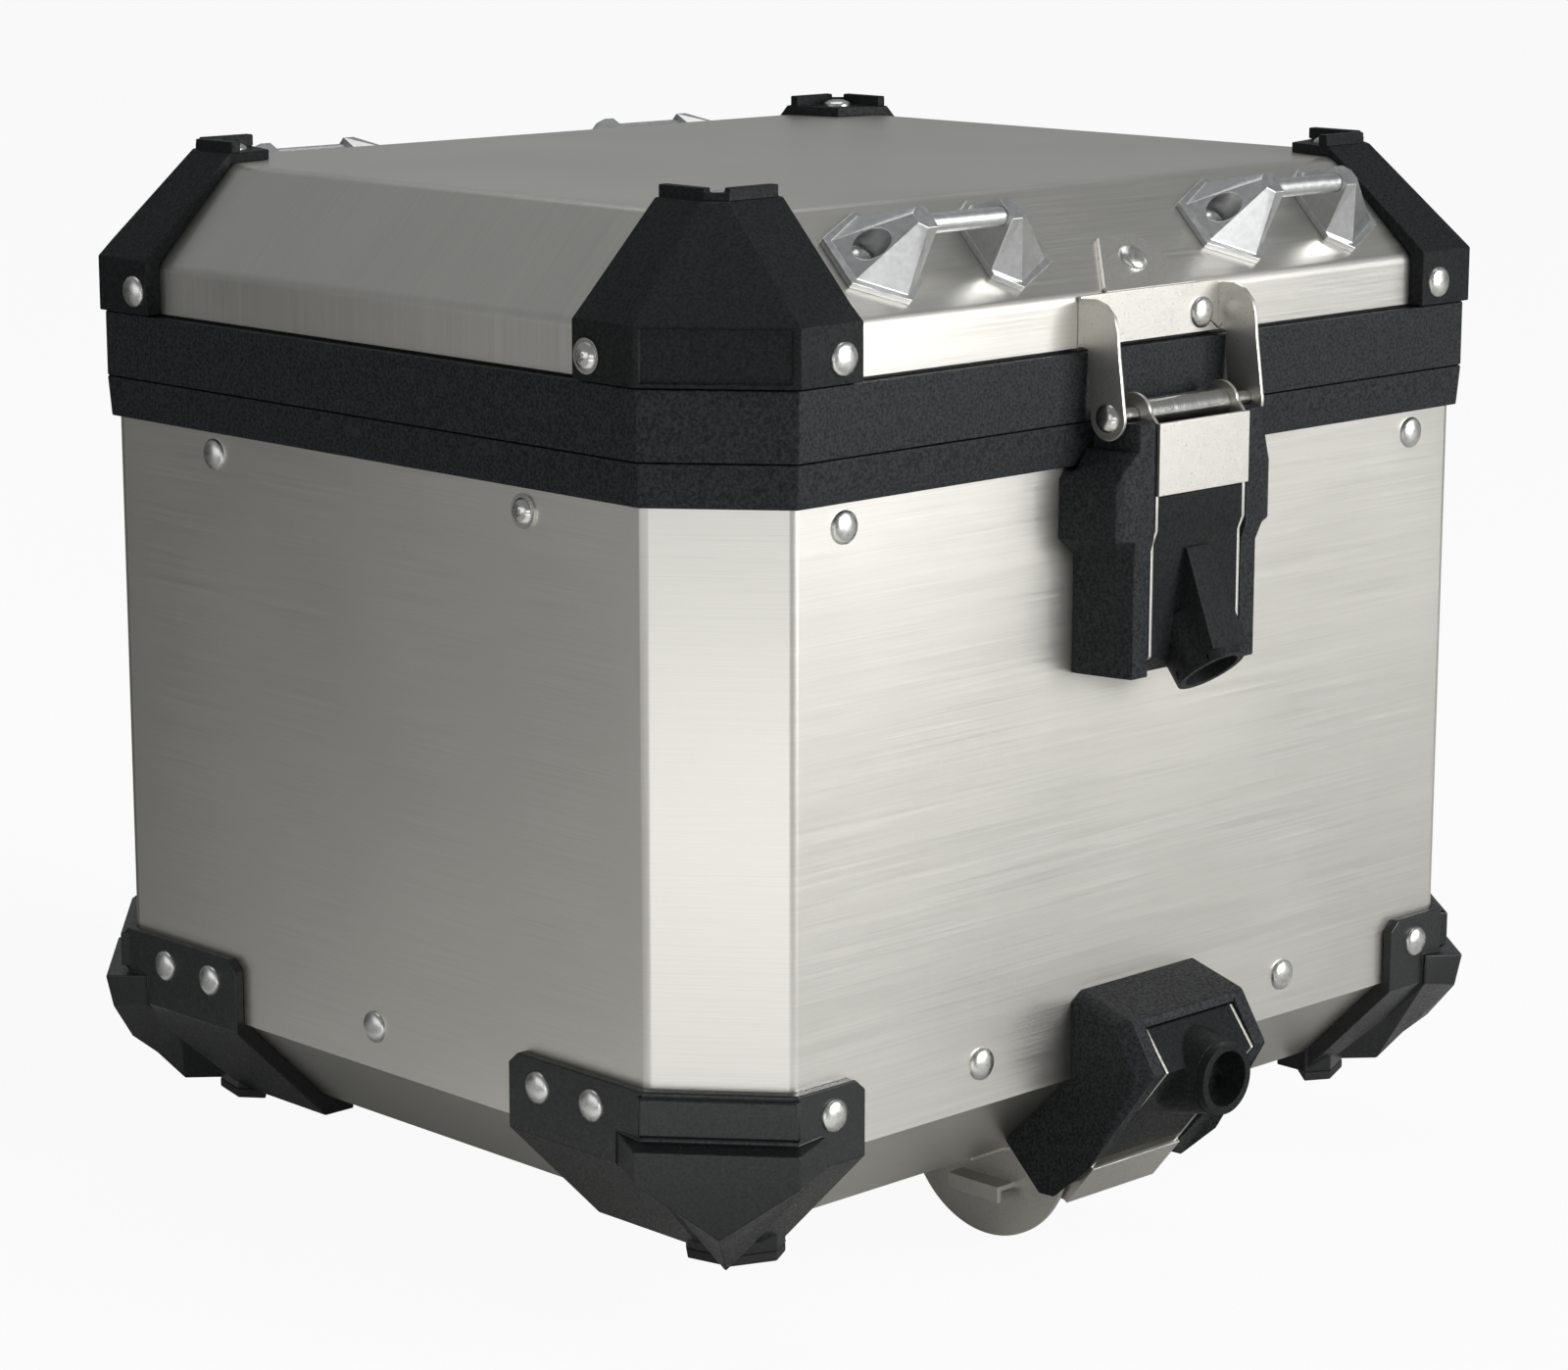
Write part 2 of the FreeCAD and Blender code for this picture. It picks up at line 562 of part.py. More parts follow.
def turned_half(place):
    """The same spot on the rear slope: half a turn about the vertical."""
    return V(-place.x, -place.y, place.z)


def lash_rivet_spots():
    spots = []
    for centre in (-LASH_X, LASH_X):
        for side in (-1, 1):
            place = slope_point(centre + side * LASH_RIVET_U, 0, LASH_SLAB)
            spots.append((place, SLOPE_NORMAL))
            spots.append((turned_half(place), turned_half(SLOPE_NORMAL)))
    return spots


LASH_RIVETS = lash_rivet_spots()


def lash_foot(centre, side):
    """Cast foot: six-sided slab, rising to the end of the bar, with a well for its rivet."""
    def at(u, v, h):
        return slope_point(centre + side * u, v, h)

    base = [(LASH_HALF, 10), (28, 20), (17.5, 13), (17.5, -13), (28, -20), (LASH_HALF, -10)]
    peak = [(26.5, 2), (23.5, 4.6), (18.5, 4.6), (18.5, -4.6), (23.5, -4.6), (26.5, -2)]
    slab = loft([at(u, v, 0) for u, v in base], [at(u, v, LASH_SLAB) for u, v in base])
    rim = [(LASH_HALF - 3, 8.5), (28.5, 17.5), (18, 11), (18, -11), (28.5, -17.5), (LASH_HALF - 3, -8.5)]
    rise = loft([at(u, v, LASH_SLAB) for u, v in rim],
                [at(u, v, LASH_BAR_UP + 4.0) for u, v in peak])
    whole = joined([slab, rise])
    well = rod(5.2, at(LASH_RIVET_U, 0, LASH_SLAB), SLOPE_NORMAL, 20)
    socket = rod(LASH_BAR_R, at(17, 0, LASH_BAR_UP), X_AXIS * side, 7.5)
    hole = shank(at(LASH_RIVET_U, 0, LASH_SLAB), SLOPE_NORMAL, LASH_GRIP)
    return without(whole, [well, socket, hole])


def lash_bar(centre):
    return rod(LASH_BAR_R, slope_point(centre - 24.5, 0, LASH_BAR_UP), X_AXIS, 49.0)


def half_turn(shape):
    copy = shape.copy()
    copy.rotate(V(0, 0, 0), Z_AXIS, 180)
    return copy


# ---------------------------------------------------------------- lid bracket with the latch pin
EAR = 1.5
STRIKE_BAND_GRIP = EAR + SHEET + RIM_LEG
STRIKE_SLOPE_GRIP = EAR + SHEET + SET_ROOM
STRIKE_BAND_RIVETS = [(V(x, FRONT - EAR, SPLIT_Z + 33.5), Y_AXIS * -1) for x in (-27.0, 27.0)]
STRIKE_SLOPE_RIVETS = [(slope_point(0, -12.0, EAR), SLOPE_NORMAL)]
PIN_Y = FRONT - LATCH_PIN_OUT
PIN_Z = SPLIT_Z + LATCH_PIN_UP


def ear(x0, x1):
    """An ear of the lid bracket in the side plane, rounded about the pin."""
    outline = [(FRONT, 27), (FRONT, 43.6), (FRONT - 8, 44), (FRONT - 13, 42.5), (FRONT - 17, 38.5),
               (FRONT - 18.6, 34), (FRONT - 19.4, 25), (PIN_Y - EYE_R, LATCH_PIN_UP),
               (PIN_Y + EYE_R - 0.2, LATCH_PIN_UP - 1.0), (FRONT - 5.0, 20), (FRONT - 5.0, 25.8)]
    plate = flat_yz([(y, SPLIT_Z + z) for y, z in outline], x0, x1)
    end = rod(EYE_R, V(x0, PIN_Y, PIN_Z), X_AXIS, x1 - x0)
    return joined([plate, end])


def strike_bracket():
    band = box(-EAR_HALF, EAR_HALF, FRONT - EAR, FRONT, SPLIT_Z + LID_RIM_H + 1.3,
               SPLIT_Z + LID_BAND_H + 0.6)
    flap = slope_plate([(-24, -SLOPE_HALF - 0.2), (24, -SLOPE_HALF - 0.2), (24, -SLOPE_HALF + 2),
                        (10.5, -1.5), (-10.5, -1.5), (-24, -SLOPE_HALF + 2)], 0, EAR)
    ears = [ear(-EAR_HALF, -EAR_HALF + EAR), ear(EAR_HALF - EAR, EAR_HALF)]
    whole = joined([band, flap] + ears)
    bore = rod(PIN_R, V(-EAR_HALF - 1, PIN_Y, PIN_Z), X_AXIS, 2 * EAR_HALF + 2)
    cuts = holes(STRIKE_BAND_RIVETS, STRIKE_BAND_GRIP) + holes(STRIKE_SLOPE_RIVETS, STRIKE_SLOPE_GRIP)
    return without(whole, [bore, lid_outer()] + cuts)


def latch_pin():
    middle = rod(PIN_R, V(-EAR_HALF, PIN_Y, PIN_Z), X_AXIS, 2 * EAR_HALF)
    head = turned(dome(5.2, 2.4), X_AXIS).translated(V(EAR_HALF, PIN_Y, PIN_Z))
    return joined([middle, head, in_x(head)])


# ---------------------------------------------------------------- latch housing on the body
POCKET_HALF = LEVER_HALF + POCKET_PLAY
LEVER_FRONT = FRONT - 26.0
LEVER_LOWER = FRONT - 24.0
HOUSING_LOW = -91.0
BACK_WALL = 2.6


def latch_housing():
    """Open-fronted moulding: two cheeks on a back plate, wider above, stepped in below."""
    p = POCKET_HALF
    wide = [(p, FRONT), (46.9, FRONT), (42.0, FRONT - 22.5), (35.0, LEVER_FRONT), (p, LEVER_FRONT)]
    slim = [(p, FRONT), (38.9, FRONT), (35.4, FRONT - 18), (33.5, LEVER_LOWER), (p, LEVER_LOWER)]
    neck = [(p, FRONT), (38.5, FRONT), (38.0, FRONT - 20), (35.0, LEVER_FRONT), (p, LEVER_FRONT)]
    tower = [(p, FRONT - 2), (34.8, FRONT - 2), (34.8, FRONT - 22), (33.6, LEVER_FRONT),
             (p, LEVER_FRONT)]

    def level(points, z):
        return [V(x, y, SPLIT_Z + z) for x, y in points]

    cheek = joined([
        loft(level(slim, HOUSING_LOW), level(slim, -48)),
        loft(level(slim, -48), level(wide, -41)),
        loft(level(wide, -41), level(wide, -20)),
        loft(level(wide, -20), level(neck, -9)),
        loft(level(tower, -9), level(tower, 1)),
    ])
    plate = box(-p - 1, p + 1, FRONT - BACK_WALL, FRONT, SPLIT_Z + HOUSING_LOW, SPLIT_Z - 17)
    whole = joined([cheek, in_x(cheek), plate])
    rim_room = box(-60, 60, FRONT - RIM_OUT - 0.8, FRONT + 5, SPLIT_Z - BODY_RIM_H - 1.2, SPLIT_Z + 5)
    pin_room = box(-60, 60, PIN_Y - PIN_R - 1.4, FRONT, SPLIT_Z + LATCH_PIN_UP - PIN_R - 1.4, SPLIT_Z + 5)
    return without(whole, [rim_room, pin_room] + SCREW_HOLES)


def latch_catch():
    """Hooked plate in the housing; its upright lip stands in front of the cam when locked."""
    base_y = FRONT - BACK_WALL
    profile = [(base_y, -91), (base_y, -79), (base_y - 1.5, -79), (base_y - 1.5, -80.5),
               (base_y - 6.5, -80.5), (base_y - 6.5, -68.3), (base_y - 8.0, -68.3),
               (base_y - 8.0, -82), (base_y - 1.5, -82), (base_y - 1.5, -91)]
    hook = flat_yz([(y, SPLIT_Z + z) for y, z in profile], -9, 9)
    return without(hook, SCREW_HOLES)


def latch_backing():
    plate = box(-42, 42, FRONT + SHEET, LATCH_BACK_Y, SPLIT_Z - 92, SPLIT_Z - 38)
    return without(plate, SCREW_HOLES)


# ---------------------------------------------------------------- latch lever, cover and lock
def cheek_pair(outline, pin_y, pin_z):
    """Two equal lever cheeks with bored eyes."""
    x0 = LEVER_HALF - LEVER_SHEET
    plate = flat_yz(outline, x0, LEVER_HALF)
    eye = rod(EYE_R, V(x0, pin_y, pin_z), X_AXIS, LEVER_SHEET)
    bore = rod(PIN_R + RUN_FIT, V(x0 - 1, pin_y, pin_z), X_AXIS, LEVER_SHEET + 2)
    one = without(joined([plate, eye]), [bore])
    return [one, in_x(one)]


def latch_lever():
    outline = [(LEVER_FRONT + 3.5, 4), (LEVER_FRONT, 0), (LEVER_FRONT, -38), (LEVER_LOWER, -43),
               (LEVER_LOWER, -84), (LEVER_LOWER + 6.5, -89), (FRONT - 11.6, -86),
               (FRONT - 10.4, -10), (PIN_Y + 6.5, LATCH_PIN_UP)]
    cheeks = cheek_pair([(y, SPLIT_Z + z) for y, z in outline], PIN_Y, PIN_Z)
    web = box(-LEVER_HALF, LEVER_HALF, LEVER_FRONT - LEVER_SHEET, LEVER_FRONT + 0.2,
              SPLIT_Z - 25.5, SPLIT_Z + 0.5)
    return joined([web] + cheeks)


LATCH_KEY_IN = V(0, math.cos(math.radians(KEY_TILT)), math.sin(math.radians(KEY_TILT)))
LATCH_KEY_SIDE = V(0, -math.sin(math.radians(KEY_TILT)), math.cos(math.radians(KEY_TILT)))
LATCH_MOUTH = V(0, FRONT - 32.6, SPLIT_Z - 91.0)
BASE_KEY_IN = V(0, 1, 0)
BASE_KEY_SIDE = V(0, 0, 1)
BASE_MOUTH = V(0, FRONT - 44.1, 27.9)


LATCH_KEY_DEEP = 7.5      # lock plugs behind their mouths
BASE_KEY_DEEP = 11.5
LATCH_BARREL_END = 17.5
LATCH_CAM_AT = 33.0
LATCH_CAM_REACH = 9.8
BASE_BARREL_END = 24.0
BASE_CAM_AT = 30.7
BASE_CAM_REACH = 12.0
TAIL_R = 3.0


def latch_cover():
    """Moulding between the cheeks with a ridge that swells into the tilted key boss."""
    half = LEVER_HALF - LEVER_SHEET
    outline = [(LEVER_FRONT, -26.0), (LEVER_FRONT, -38), (LEVER_LOWER, -43), (LEVER_LOWER, -84),
               (LEVER_LOWER + 6.5, -91), (FRONT - 13.6, -88), (FRONT - 13.6, -12),
               (FRONT - 22.6, -12), (FRONT - 22.6, -26.0)]
    slab = flat_yz([(y, SPLIT_Z + z) for y, z in outline], -half, half)
    boss = rod(BOSS_R, LATCH_MOUTH, LATCH_KEY_IN, 22)
    crest = [V(x, y, SPLIT_Z + z) for x, y, z in (
        (-6.5, LEVER_LOWER - 1.2, -46), (6.5, LEVER_LOWER - 1.2, -46),
        (7.5, LEVER_LOWER + 6, -52), (-7.5, LEVER_LOWER + 6, -52))]
    mouth = [LATCH_MOUTH + LATCH_KEY_IN * 3 + X_AXIS * u + LATCH_KEY_SIDE * v for u, v in (
        (-9.5, 13.2), (9.5, 13.2), (13.2, -4), (-13.2, -4))]
    ridge = loft(crest, mouth)
    whole = joined([slab, boss, ridge])
    back = box(-30, 30, FRONT - 13.6, FRONT, SPLIT_Z - 110, SPLIT_Z)
    bore = rod(BARREL_R, LATCH_MOUTH - LATCH_KEY_IN, LATCH_KEY_IN, LATCH_BARREL_END + 1)
    tail_bore = rod(TAIL_R + 0.6, LATCH_MOUTH, LATCH_KEY_IN, 50)
    cam_start = LATCH_MOUTH + LATCH_KEY_IN * (LATCH_CAM_AT - 0.6)
    cam_room = rod(LATCH_CAM_REACH + 1.0, cam_start, LATCH_KEY_IN, 20)
    return without(whole, [back, bore, tail_bore, cam_room])


def latch_sleeve():
    half = LEVER_HALF - LEVER_SHEET
    tube = rod(5.2, V(-half, PIN_Y, PIN_Z), X_AXIS, 2 * half)
    return without(tube, [rod(PIN_R + RUN_FIT, V(-half - 1, PIN_Y, PIN_Z), X_AXIS, 2 * half + 2)])


def barrel(mouth, inward, start, end):
    """Fixed lock barrel, pressed into its boss behind the mouth."""
    tube = rod(BARREL_R - 0.02, mouth + inward * start, inward, end - start)
    return without(tube, [rod(PLUG_R + RUN_FIT, mouth + inward * (start - 1), inward, end - start + 2)])


def plug(mouth, inward, side, start, step, end):
    """Turning key plug with its key slot, and the thin tail that carries the cam."""
    body = joined([rod(PLUG_R, mouth + inward * start, inward, step - start),
                   rod(TAIL_R, mouth + inward * start, inward, end - start)])
    corner = [mouth + inward * (start - 1) + X_AXIS * u + side * v
              for u, v in ((-0.8, -4), (0.8, -4), (0.8, 4), (-0.8, 4))]
    slot = face_of(corner).extrude(inward * 10)
    return without(body, [slot])


def cam(mouth, inward, side, start, reach):
    """Cam plate on the inner end of the plug, its finger pointing to the right at rest."""
    centre = mouth + inward * start
    hub = rod(5.0, centre, inward, 2.0)
    finger = face_of([centre + X_AXIS * u + side * v
                      for u, v in ((0, -3), (reach, -3), (reach, 3), (0, 3))]).extrude(inward * 2.0)
    return joined([hub, finger])


# ---------------------------------------------------------------- base lock
BASE_PIN_Y = FRONT + 17.0
BASE_PIN_Z = -12.8
APEX = (FRONT - 36.1, 33.4)
TOE = (FRONT + 12.8, -26.6)
LEVER_TOP = 47.7
BRACKET_CENTRE = V(0, FRONT + 49.8, -6.4)
BRACKET_R = 41.4
BRACKET_IN = 26.0
BRACKET_OUT = 28.0
CHEEK_CUT_BACK = 6.0       # the right cheek's cut ends this far behind the cheek's centre
CHEEK_CUT_RISE = 5.5       # and starts this far above the lever's toe, 10 mm in front of it
HOUSING_TOP = 59.0


def on_lever_line(share, out=0.0):
    """A point on the base lever's outer face, share 0 at the apex and 1 at the toe."""
    dy = TOE[0] - APEX[0]
    dz = TOE[1] - APEX[1]
    size = math.hypot(dy, dz)
    return (APEX[0] + dy * share + out * dz / size, APEX[1] + dz * share - out * dy / size)


def base_bracket():
    """Steel bracket under the floor: a plate with two half-round cheeks that carry the lever pin.

    The right cheek has its lower front edge cut off straight, level with the lever's own edge.
    """
    disc = rod(BRACKET_R, V(BRACKET_IN, BRACKET_CENTRE.y, BRACKET_CENTRE.z), X_AXIS,
               BRACKET_OUT - BRACKET_IN)
    disc = without(disc, [pan_outer()])
    below = BRACKET_CENTRE.z - BRACKET_R - 10
    cut_back = BRACKET_CENTRE.y + CHEEK_CUT_BACK
    cut_off = flat_yz([(TOE[0] - 10, TOE[1] + CHEEK_CUT_RISE), (cut_back, BRACKET_CENTRE.z - BRACKET_R - 1),
                       (cut_back, below), (TOE[0] - 10, below)], BRACKET_IN - 1, BRACKET_OUT + 1)
    plate = box(-45, 45, PLATE_FRONT, PLATE_FRONT + PLATE_DEPTH, FLOOR_Z - BRACKET_PLATE, FLOOR_Z)
    tab = joined([box(-36, -BRACKET_IN - 1, FRONT + 36, FRONT + 62, -26.6, -24.6),
                  box(-36, -34, FRONT + 36, FRONT + 62, -31, -24.6)])
    whole = joined([without(disc, [cut_off]), in_x(disc), plate, tab])
    bore = rod(PIN_R, V(-40, BASE_PIN_Y, BASE_PIN_Z), X_AXIS, 80)
    return without(whole, [bore] + holes(BRACKET_RIVETS, BRACKET_GRIP))


def base_lock_housing():
    """Moulding around the front lower edge: two cheeks, a bridge above the lever and a back plate."""
    pan_front = FRONT + SHEET
    hang = 31.0
    seat = [(pan_front + hang, CREASE - hang), (pan_front, CREASE), (FRONT, CREASE)]
    full = [(FRONT, HOUSING_TOP), (FRONT - 24.6, 51.9), APEX, (FRONT - 12.6, 2.0),
            (FRONT + 4.9, -16.9), (FRONT + 15.0, -21.8)] + seat
    trim = [(FRONT, HOUSING_TOP - 3.4), (FRONT - 19.9, 50.4), (FRONT - 31.6, 32.4), (FRONT - 9.1, -7.3),
            (FRONT + 7.6, -21.5), (FRONT + 15.0, -21.8)] + seat
    p = POCKET_HALF
    cheek = joined([
        loft([V(p, y, z) for y, z in full], [V(31, y, z) for y, z in full]),
        loft([V(31, y, z) for y, z in full], [V(36.2, y, z) for y, z in trim]),
    ])
    bridge_low = LEVER_TOP + 0.7
    bridge = flat_yz([(FRONT, bridge_low), (FRONT, HOUSING_TOP), (FRONT - 24.6, 51.9),
                      (FRONT - 25.8, bridge_low)], -p - 1, p + 1)
    back = flat_yz([(FRONT, CREASE), (FRONT, bridge_low + 1), (FRONT - BACK_WALL, bridge_low + 1),
                    (FRONT - BACK_WALL, CREASE - 1), (pan_front + hang - 3.6, CREASE - hang),
                    (pan_front + hang, CREASE - hang), (pan_front, CREASE)], -p - 1, p + 1)
    whole = joined([cheek, in_x(cheek), bridge, back])
    recess = rod(BRACKET_R + 0.4, V(p - 0.2, BRACKET_CENTRE.y, BRACKET_CENTRE.z), X_AXIS,
                 BRACKET_OUT + 0.3 - p)
    bore = rod(PIN_R, V(-33, BASE_PIN_Y, BASE_PIN_Z), X_AXIS, 66)
    return without(whole, [recess, in_x(recess), bore] + SCREW_HOLES)


def base_lock_catch():
    """Hooked plate under the bridge; its lip hangs in front of the cam when locked."""
    base_y = FRONT - BACK_WALL
    top = LEVER_TOP + 0.7
    profile = [(base_y, 37.4), (base_y, top), (base_y - 13.1, top), (base_y - 13.1, 36.4),
               (base_y - 11.6, 36.4), (base_y - 11.6, top - 1.5), (base_y - 1.5, top - 1.5),
               (base_y - 1.5, 37.4)]
    return without(flat_yz(profile, -9, 9), SCREW_HOLES)


def base_lock_backing():
    plate = box(-42, 42, FRONT + 2 * SHEET, BASE_BACK_Y, 33, 59)
    return without(plate, SCREW_HOLES)


def base_lock_pin():
    return rod(PIN_R, V(-33, BASE_PIN_Y, BASE_PIN_Z), X_AXIS, 66)


def base_lever():
    outline = [APEX, (FRONT - 25.3, LEVER_TOP), (FRONT - 19.6, LEVER_TOP), (FRONT - 13.6, 27.9),
               (FRONT + 11.4, -4.6), (BASE_PIN_Y, BASE_PIN_Z + EYE_R), (BASE_PIN_Y + 5.6, BASE_PIN_Z + 5),
               (FRONT + 37.4, -26.6), (FRONT + 39.4, -31.8), (FRONT + 34.6, -32.8),
               (FRONT + 31.4, -27.4), (FRONT + 21, -25.8), TOE]
    cheeks = cheek_pair(outline, BASE_PIN_Y, BASE_PIN_Z)
    web = flat_yz([on_lever_line(0.73, -0.3), on_lever_line(1.0, -0.3), on_lever_line(1.0, 1.5),
                   on_lever_line(0.73, 1.5)], -LEVER_HALF, LEVER_HALF)
    return joined([web] + cheeks)


def base_cover():
    """Moulding between the cheeks of the base lever with the level key boss."""
    half = LEVER_HALF - LEVER_SHEET
    outline = [APEX, (FRONT - 25.3, LEVER_TOP), (FRONT - 19.6, LEVER_TOP), (FRONT - 13.6, 27.9),
               (FRONT + 3.4, 5.8), on_lever_line(0.68)]
    slab = flat_yz(outline, -half, half)
    boss = rod(BOSS_R, BASE_MOUTH, BASE_KEY_IN, 30)
    flare = Part.makeCone(BOSS_R + 0.3, BOSS_R + 4.2, 17, BASE_MOUTH + BASE_KEY_IN * 4, BASE_KEY_IN)
    whole = joined([slab, boss, flare])
    behind = flat_yz([(FRONT - 19.6, LEVER_TOP + 1), (FRONT - 13.6, 27.9), (FRONT + 3.4, 5.8),
                      (FRONT + 30, 0), (FRONT + 30, 60), (FRONT - 19.6, 60)], -40, 40)
    above = box(-40, 40, FRONT - 60, FRONT, LEVER_TOP, LEVER_TOP + 20)
    notch = box(-40, 40, FRONT - 14.6, FRONT, 20.5, 60)
    bore = rod(BARREL_R, BASE_MOUTH - BASE_KEY_IN, BASE_KEY_IN, BASE_BARREL_END + 1)
    tail_bore = rod(TAIL_R + 0.6, BASE_MOUTH, BASE_KEY_IN, 50)
    return without(whole, [behind, above, notch, bore, tail_bore])


# ---------------------------------------------------------------- hinges
HINGE_Y = REAR + HINGE_OUT
KNUCKLES = 3
KNUCKLE_GAP = 1.0


def hinge_leaf(up):
    """One leaf at x = 0: up = 1 for the lid, -1 for the body; it steps out around its rim."""
    rim = LID_RIM_H if up > 0 else BODY_RIM_H
    out = RIM_OUT + 0.6
    t = HINGE_LEAF
    tall = LID_BAND_H - 1.5 if up > 0 else 40.0
    profile = [(REAR, tall), (REAR + t, tall), (REAR + t, rim + 5.6), (REAR + out + t, rim + 0.7),
               (REAR + out + t, 0), (REAR + out, 0), (REAR + out, rim - 0.1), (REAR, rim + out - 0.1)]
    plate = flat_yz([(y, SPLIT_Z + up * z) for y, z in profile], -HINGE_W / 2, HINGE_W / 2)
    third = HINGE_W / KNUCKLES
    own = [1] if up > 0 else [0, 2]
    knuckle_parts = []
    notches = []
    for index in range(KNUCKLES):
        x0 = -HINGE_W / 2 + index * third
        if index in own:
            left = x0 + (KNUCKLE_GAP / 2 if index > 0 else 0)
            right = x0 + third - (KNUCKLE_GAP / 2 if index < KNUCKLES - 1 else 0)
            knuckle_parts.append(rod(HINGE_R, V(left, HINGE_Y, SPLIT_Z), X_AXIS, right - left))
        else:
            low = min(0, up * 7.0) - (0 if up > 0 else 0.5)
            high = max(0, up * 7.0) + (0 if up < 0 else 0.5)
            notches.append(box(x0 - KNUCKLE_GAP / 2, x0 + third + KNUCKLE_GAP / 2, REAR, REAR + 30,
                               SPLIT_Z + low - 1, SPLIT_Z + high))
    whole = joined([without(plate, notches)] + knuckle_parts)
    play = RUN_FIT if up > 0 else 0.0
    bore = rod(HINGE_PIN_R + play, V(-HINGE_W / 2 - 1, HINGE_Y, SPLIT_Z), X_AXIS, HINGE_W + 2)
    return without(whole, [bore])


def placed_leaf(up, centre):
    spots = HINGE_LID_RIVETS if up > 0 else HINGE_BODY_RIVETS
    return without(hinge_leaf(up).translated(V(centre, 0, 0)), holes(spots, HINGE_GRIP))


# ---------------------------------------------------------------- write every node
def main():
    os.makedirs("parts", exist_ok=True)

    save("body_walls", body_walls())
    save("base_pan", base_pan())
    save("body_rim", body_rim())
    save("body_rim_rivets", [rivet(p, d, RIM_GRIP) for p, d in RIM_RIVETS])
    save("body_rim_screws", [star_screw(p, d, RIM_GRIP) for p, d in RIM_SCREWS])
    save("wall_rivets", [rivet(p, d, WALL_GRIP) for p, d in WALL_RIVETS])
    one_foot = foot()
    save("foot_rear_right", one_foot)
    save("foot_rear_left", in_x(one_foot))
    save("foot_front_right", in_y(one_foot))
    save("foot_front_left", in_x(in_y(one_foot)))
    one_pad = pad()
    save("foot_pads", [one_pad, in_x(one_pad), in_y(one_pad), in_x(in_y(one_pad))])
    save("foot_rivets", [rivet(p, d, FOOT_GRIP) for p, d in FOOT_RIVETS])
    save("floor_plate", floor_plate())

    save("lid_shell", lid_shell())
    save("lid_rim", lid_rim())
    save("lid_seal", lid_seal())
    one_guard = guard()
    save("guard_rear_right", one_guard)
    save("guard_rear_left", in_x(one_guard))
    save("guard_front_right", in_y(one_guard))
    save("guard_front_left", in_x(in_y(one_guard)))
    save("guard_rivets", [rivet(p, d, GUARD_GRIP) for p, d in GUARD_RIVETS]
         + [rivet(p, d, GUARD_TOP_GRIP) for p, d in GUARD_TOP_RIVETS])
    save("guard_screws", [star_screw(p, d, GUARD_GRIP) for p, d in GUARD_SCREWS])

    eyes = {"left": -LASH_X, "right": LASH_X}
    for name, centre in eyes.items():
        save("lash_feet_front_" + name, [lash_foot(centre, side) for side in (-1, 1)])
        save("lash_feet_rear_" + name, [half_turn(lash_foot(-centre, side)) for side in (-1, 1)])
    bars = [lash_bar(centre) for centre in eyes.values()]
    save("lash_bars", bars + [half_turn(bar) for bar in bars])
    save("lash_rivets", [rivet(p, d, LASH_GRIP, 4.4, 1.8) for p, d in LASH_RIVETS])

    save("strike_bracket", strike_bracket())
    save("strike_rivets", [rivet(p, d, STRIKE_BAND_GRIP) for p, d in STRIKE_BAND_RIVETS]
         + [rivet(p, d, STRIKE_SLOPE_GRIP, 5.4) for p, d in STRIKE_SLOPE_RIVETS])
    save("latch_pin", latch_pin())

    save("latch_housing", latch_housing())
    save("latch_catch", latch_catch())
    save("latch_backing", latch_backing())
    save("latch_lever", latch_lever())
    save("latch_cover", latch_cover())
    save("latch_sleeve", latch_sleeve())
    save("latch_barrel", barrel(LATCH_MOUTH, LATCH_KEY_IN, LATCH_KEY_DEEP + 0.5, LATCH_BARREL_END))
    save("latch_plug", plug(LATCH_MOUTH, LATCH_KEY_IN, LATCH_KEY_SIDE, LATCH_KEY_DEEP,
                            LATCH_BARREL_END, LATCH_CAM_AT))
    save("latch_cam", cam(LATCH_MOUTH, LATCH_KEY_IN, LATCH_KEY_SIDE, LATCH_CAM_AT, LATCH_CAM_REACH))

    save("base_bracket", base_bracket())
    save("base_bracket_rivets", [rivet(p, d, BRACKET_GRIP, 5.0, 2.0) for p, d in BRACKET_RIVETS])
    save("base_lock_housing", base_lock_housing())
    save("base_lock_catch", base_lock_catch())
    save("base_lock_backing", base_lock_backing())
    save("base_lock_pin", base_lock_pin())
    save("base_lever", base_lever())
    save("base_cover", base_cover())
    save("base_barrel", barrel(BASE_MOUTH, BASE_KEY_IN, BASE_KEY_DEEP + 0.5, BASE_BARREL_END))
    save("base_plug", plug(BASE_MOUTH, BASE_KEY_IN, BASE_KEY_SIDE, BASE_KEY_DEEP, BASE_BARREL_END,
                           BASE_CAM_AT))
    save("base_cam", cam(BASE_MOUTH, BASE_KEY_IN, BASE_KEY_SIDE, BASE_CAM_AT, BASE_CAM_REACH))
    save("lock_housing_screws",
         [pan_screw(p, Y_AXIS, HOUSING_SCREW_L) for p in LATCH_SCREWS + BASE_SCREWS]
         + [pan_screw(p, Y_AXIS, CATCH_SCREW_L) for p in CATCH_SCREWS + BASE_CATCH_SCREWS])

    for name, centre in (("left", -HINGE_X), ("right", HINGE_X)):
        save("hinge_leaf_body_" + name, placed_leaf(-1, centre))
        save("hinge_leaf_lid_" + name, placed_leaf(1, centre))
    save("hinge_pins", [rod(HINGE_PIN_R, V(centre - HINGE_W / 2, HINGE_Y, SPLIT_Z), X_AXIS, HINGE_W)
                        for centre in (-HINGE_X, HINGE_X)])
    save("hinge_body_rivets", [rivet(p, d, HINGE_GRIP, 5.0, 2.0) for p, d in HINGE_BODY_RIVETS])
    save("hinge_lid_rivets", [rivet(p, d, HINGE_GRIP, 5.0, 2.0) for p, d in HINGE_LID_RIVETS])


main()
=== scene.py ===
import math

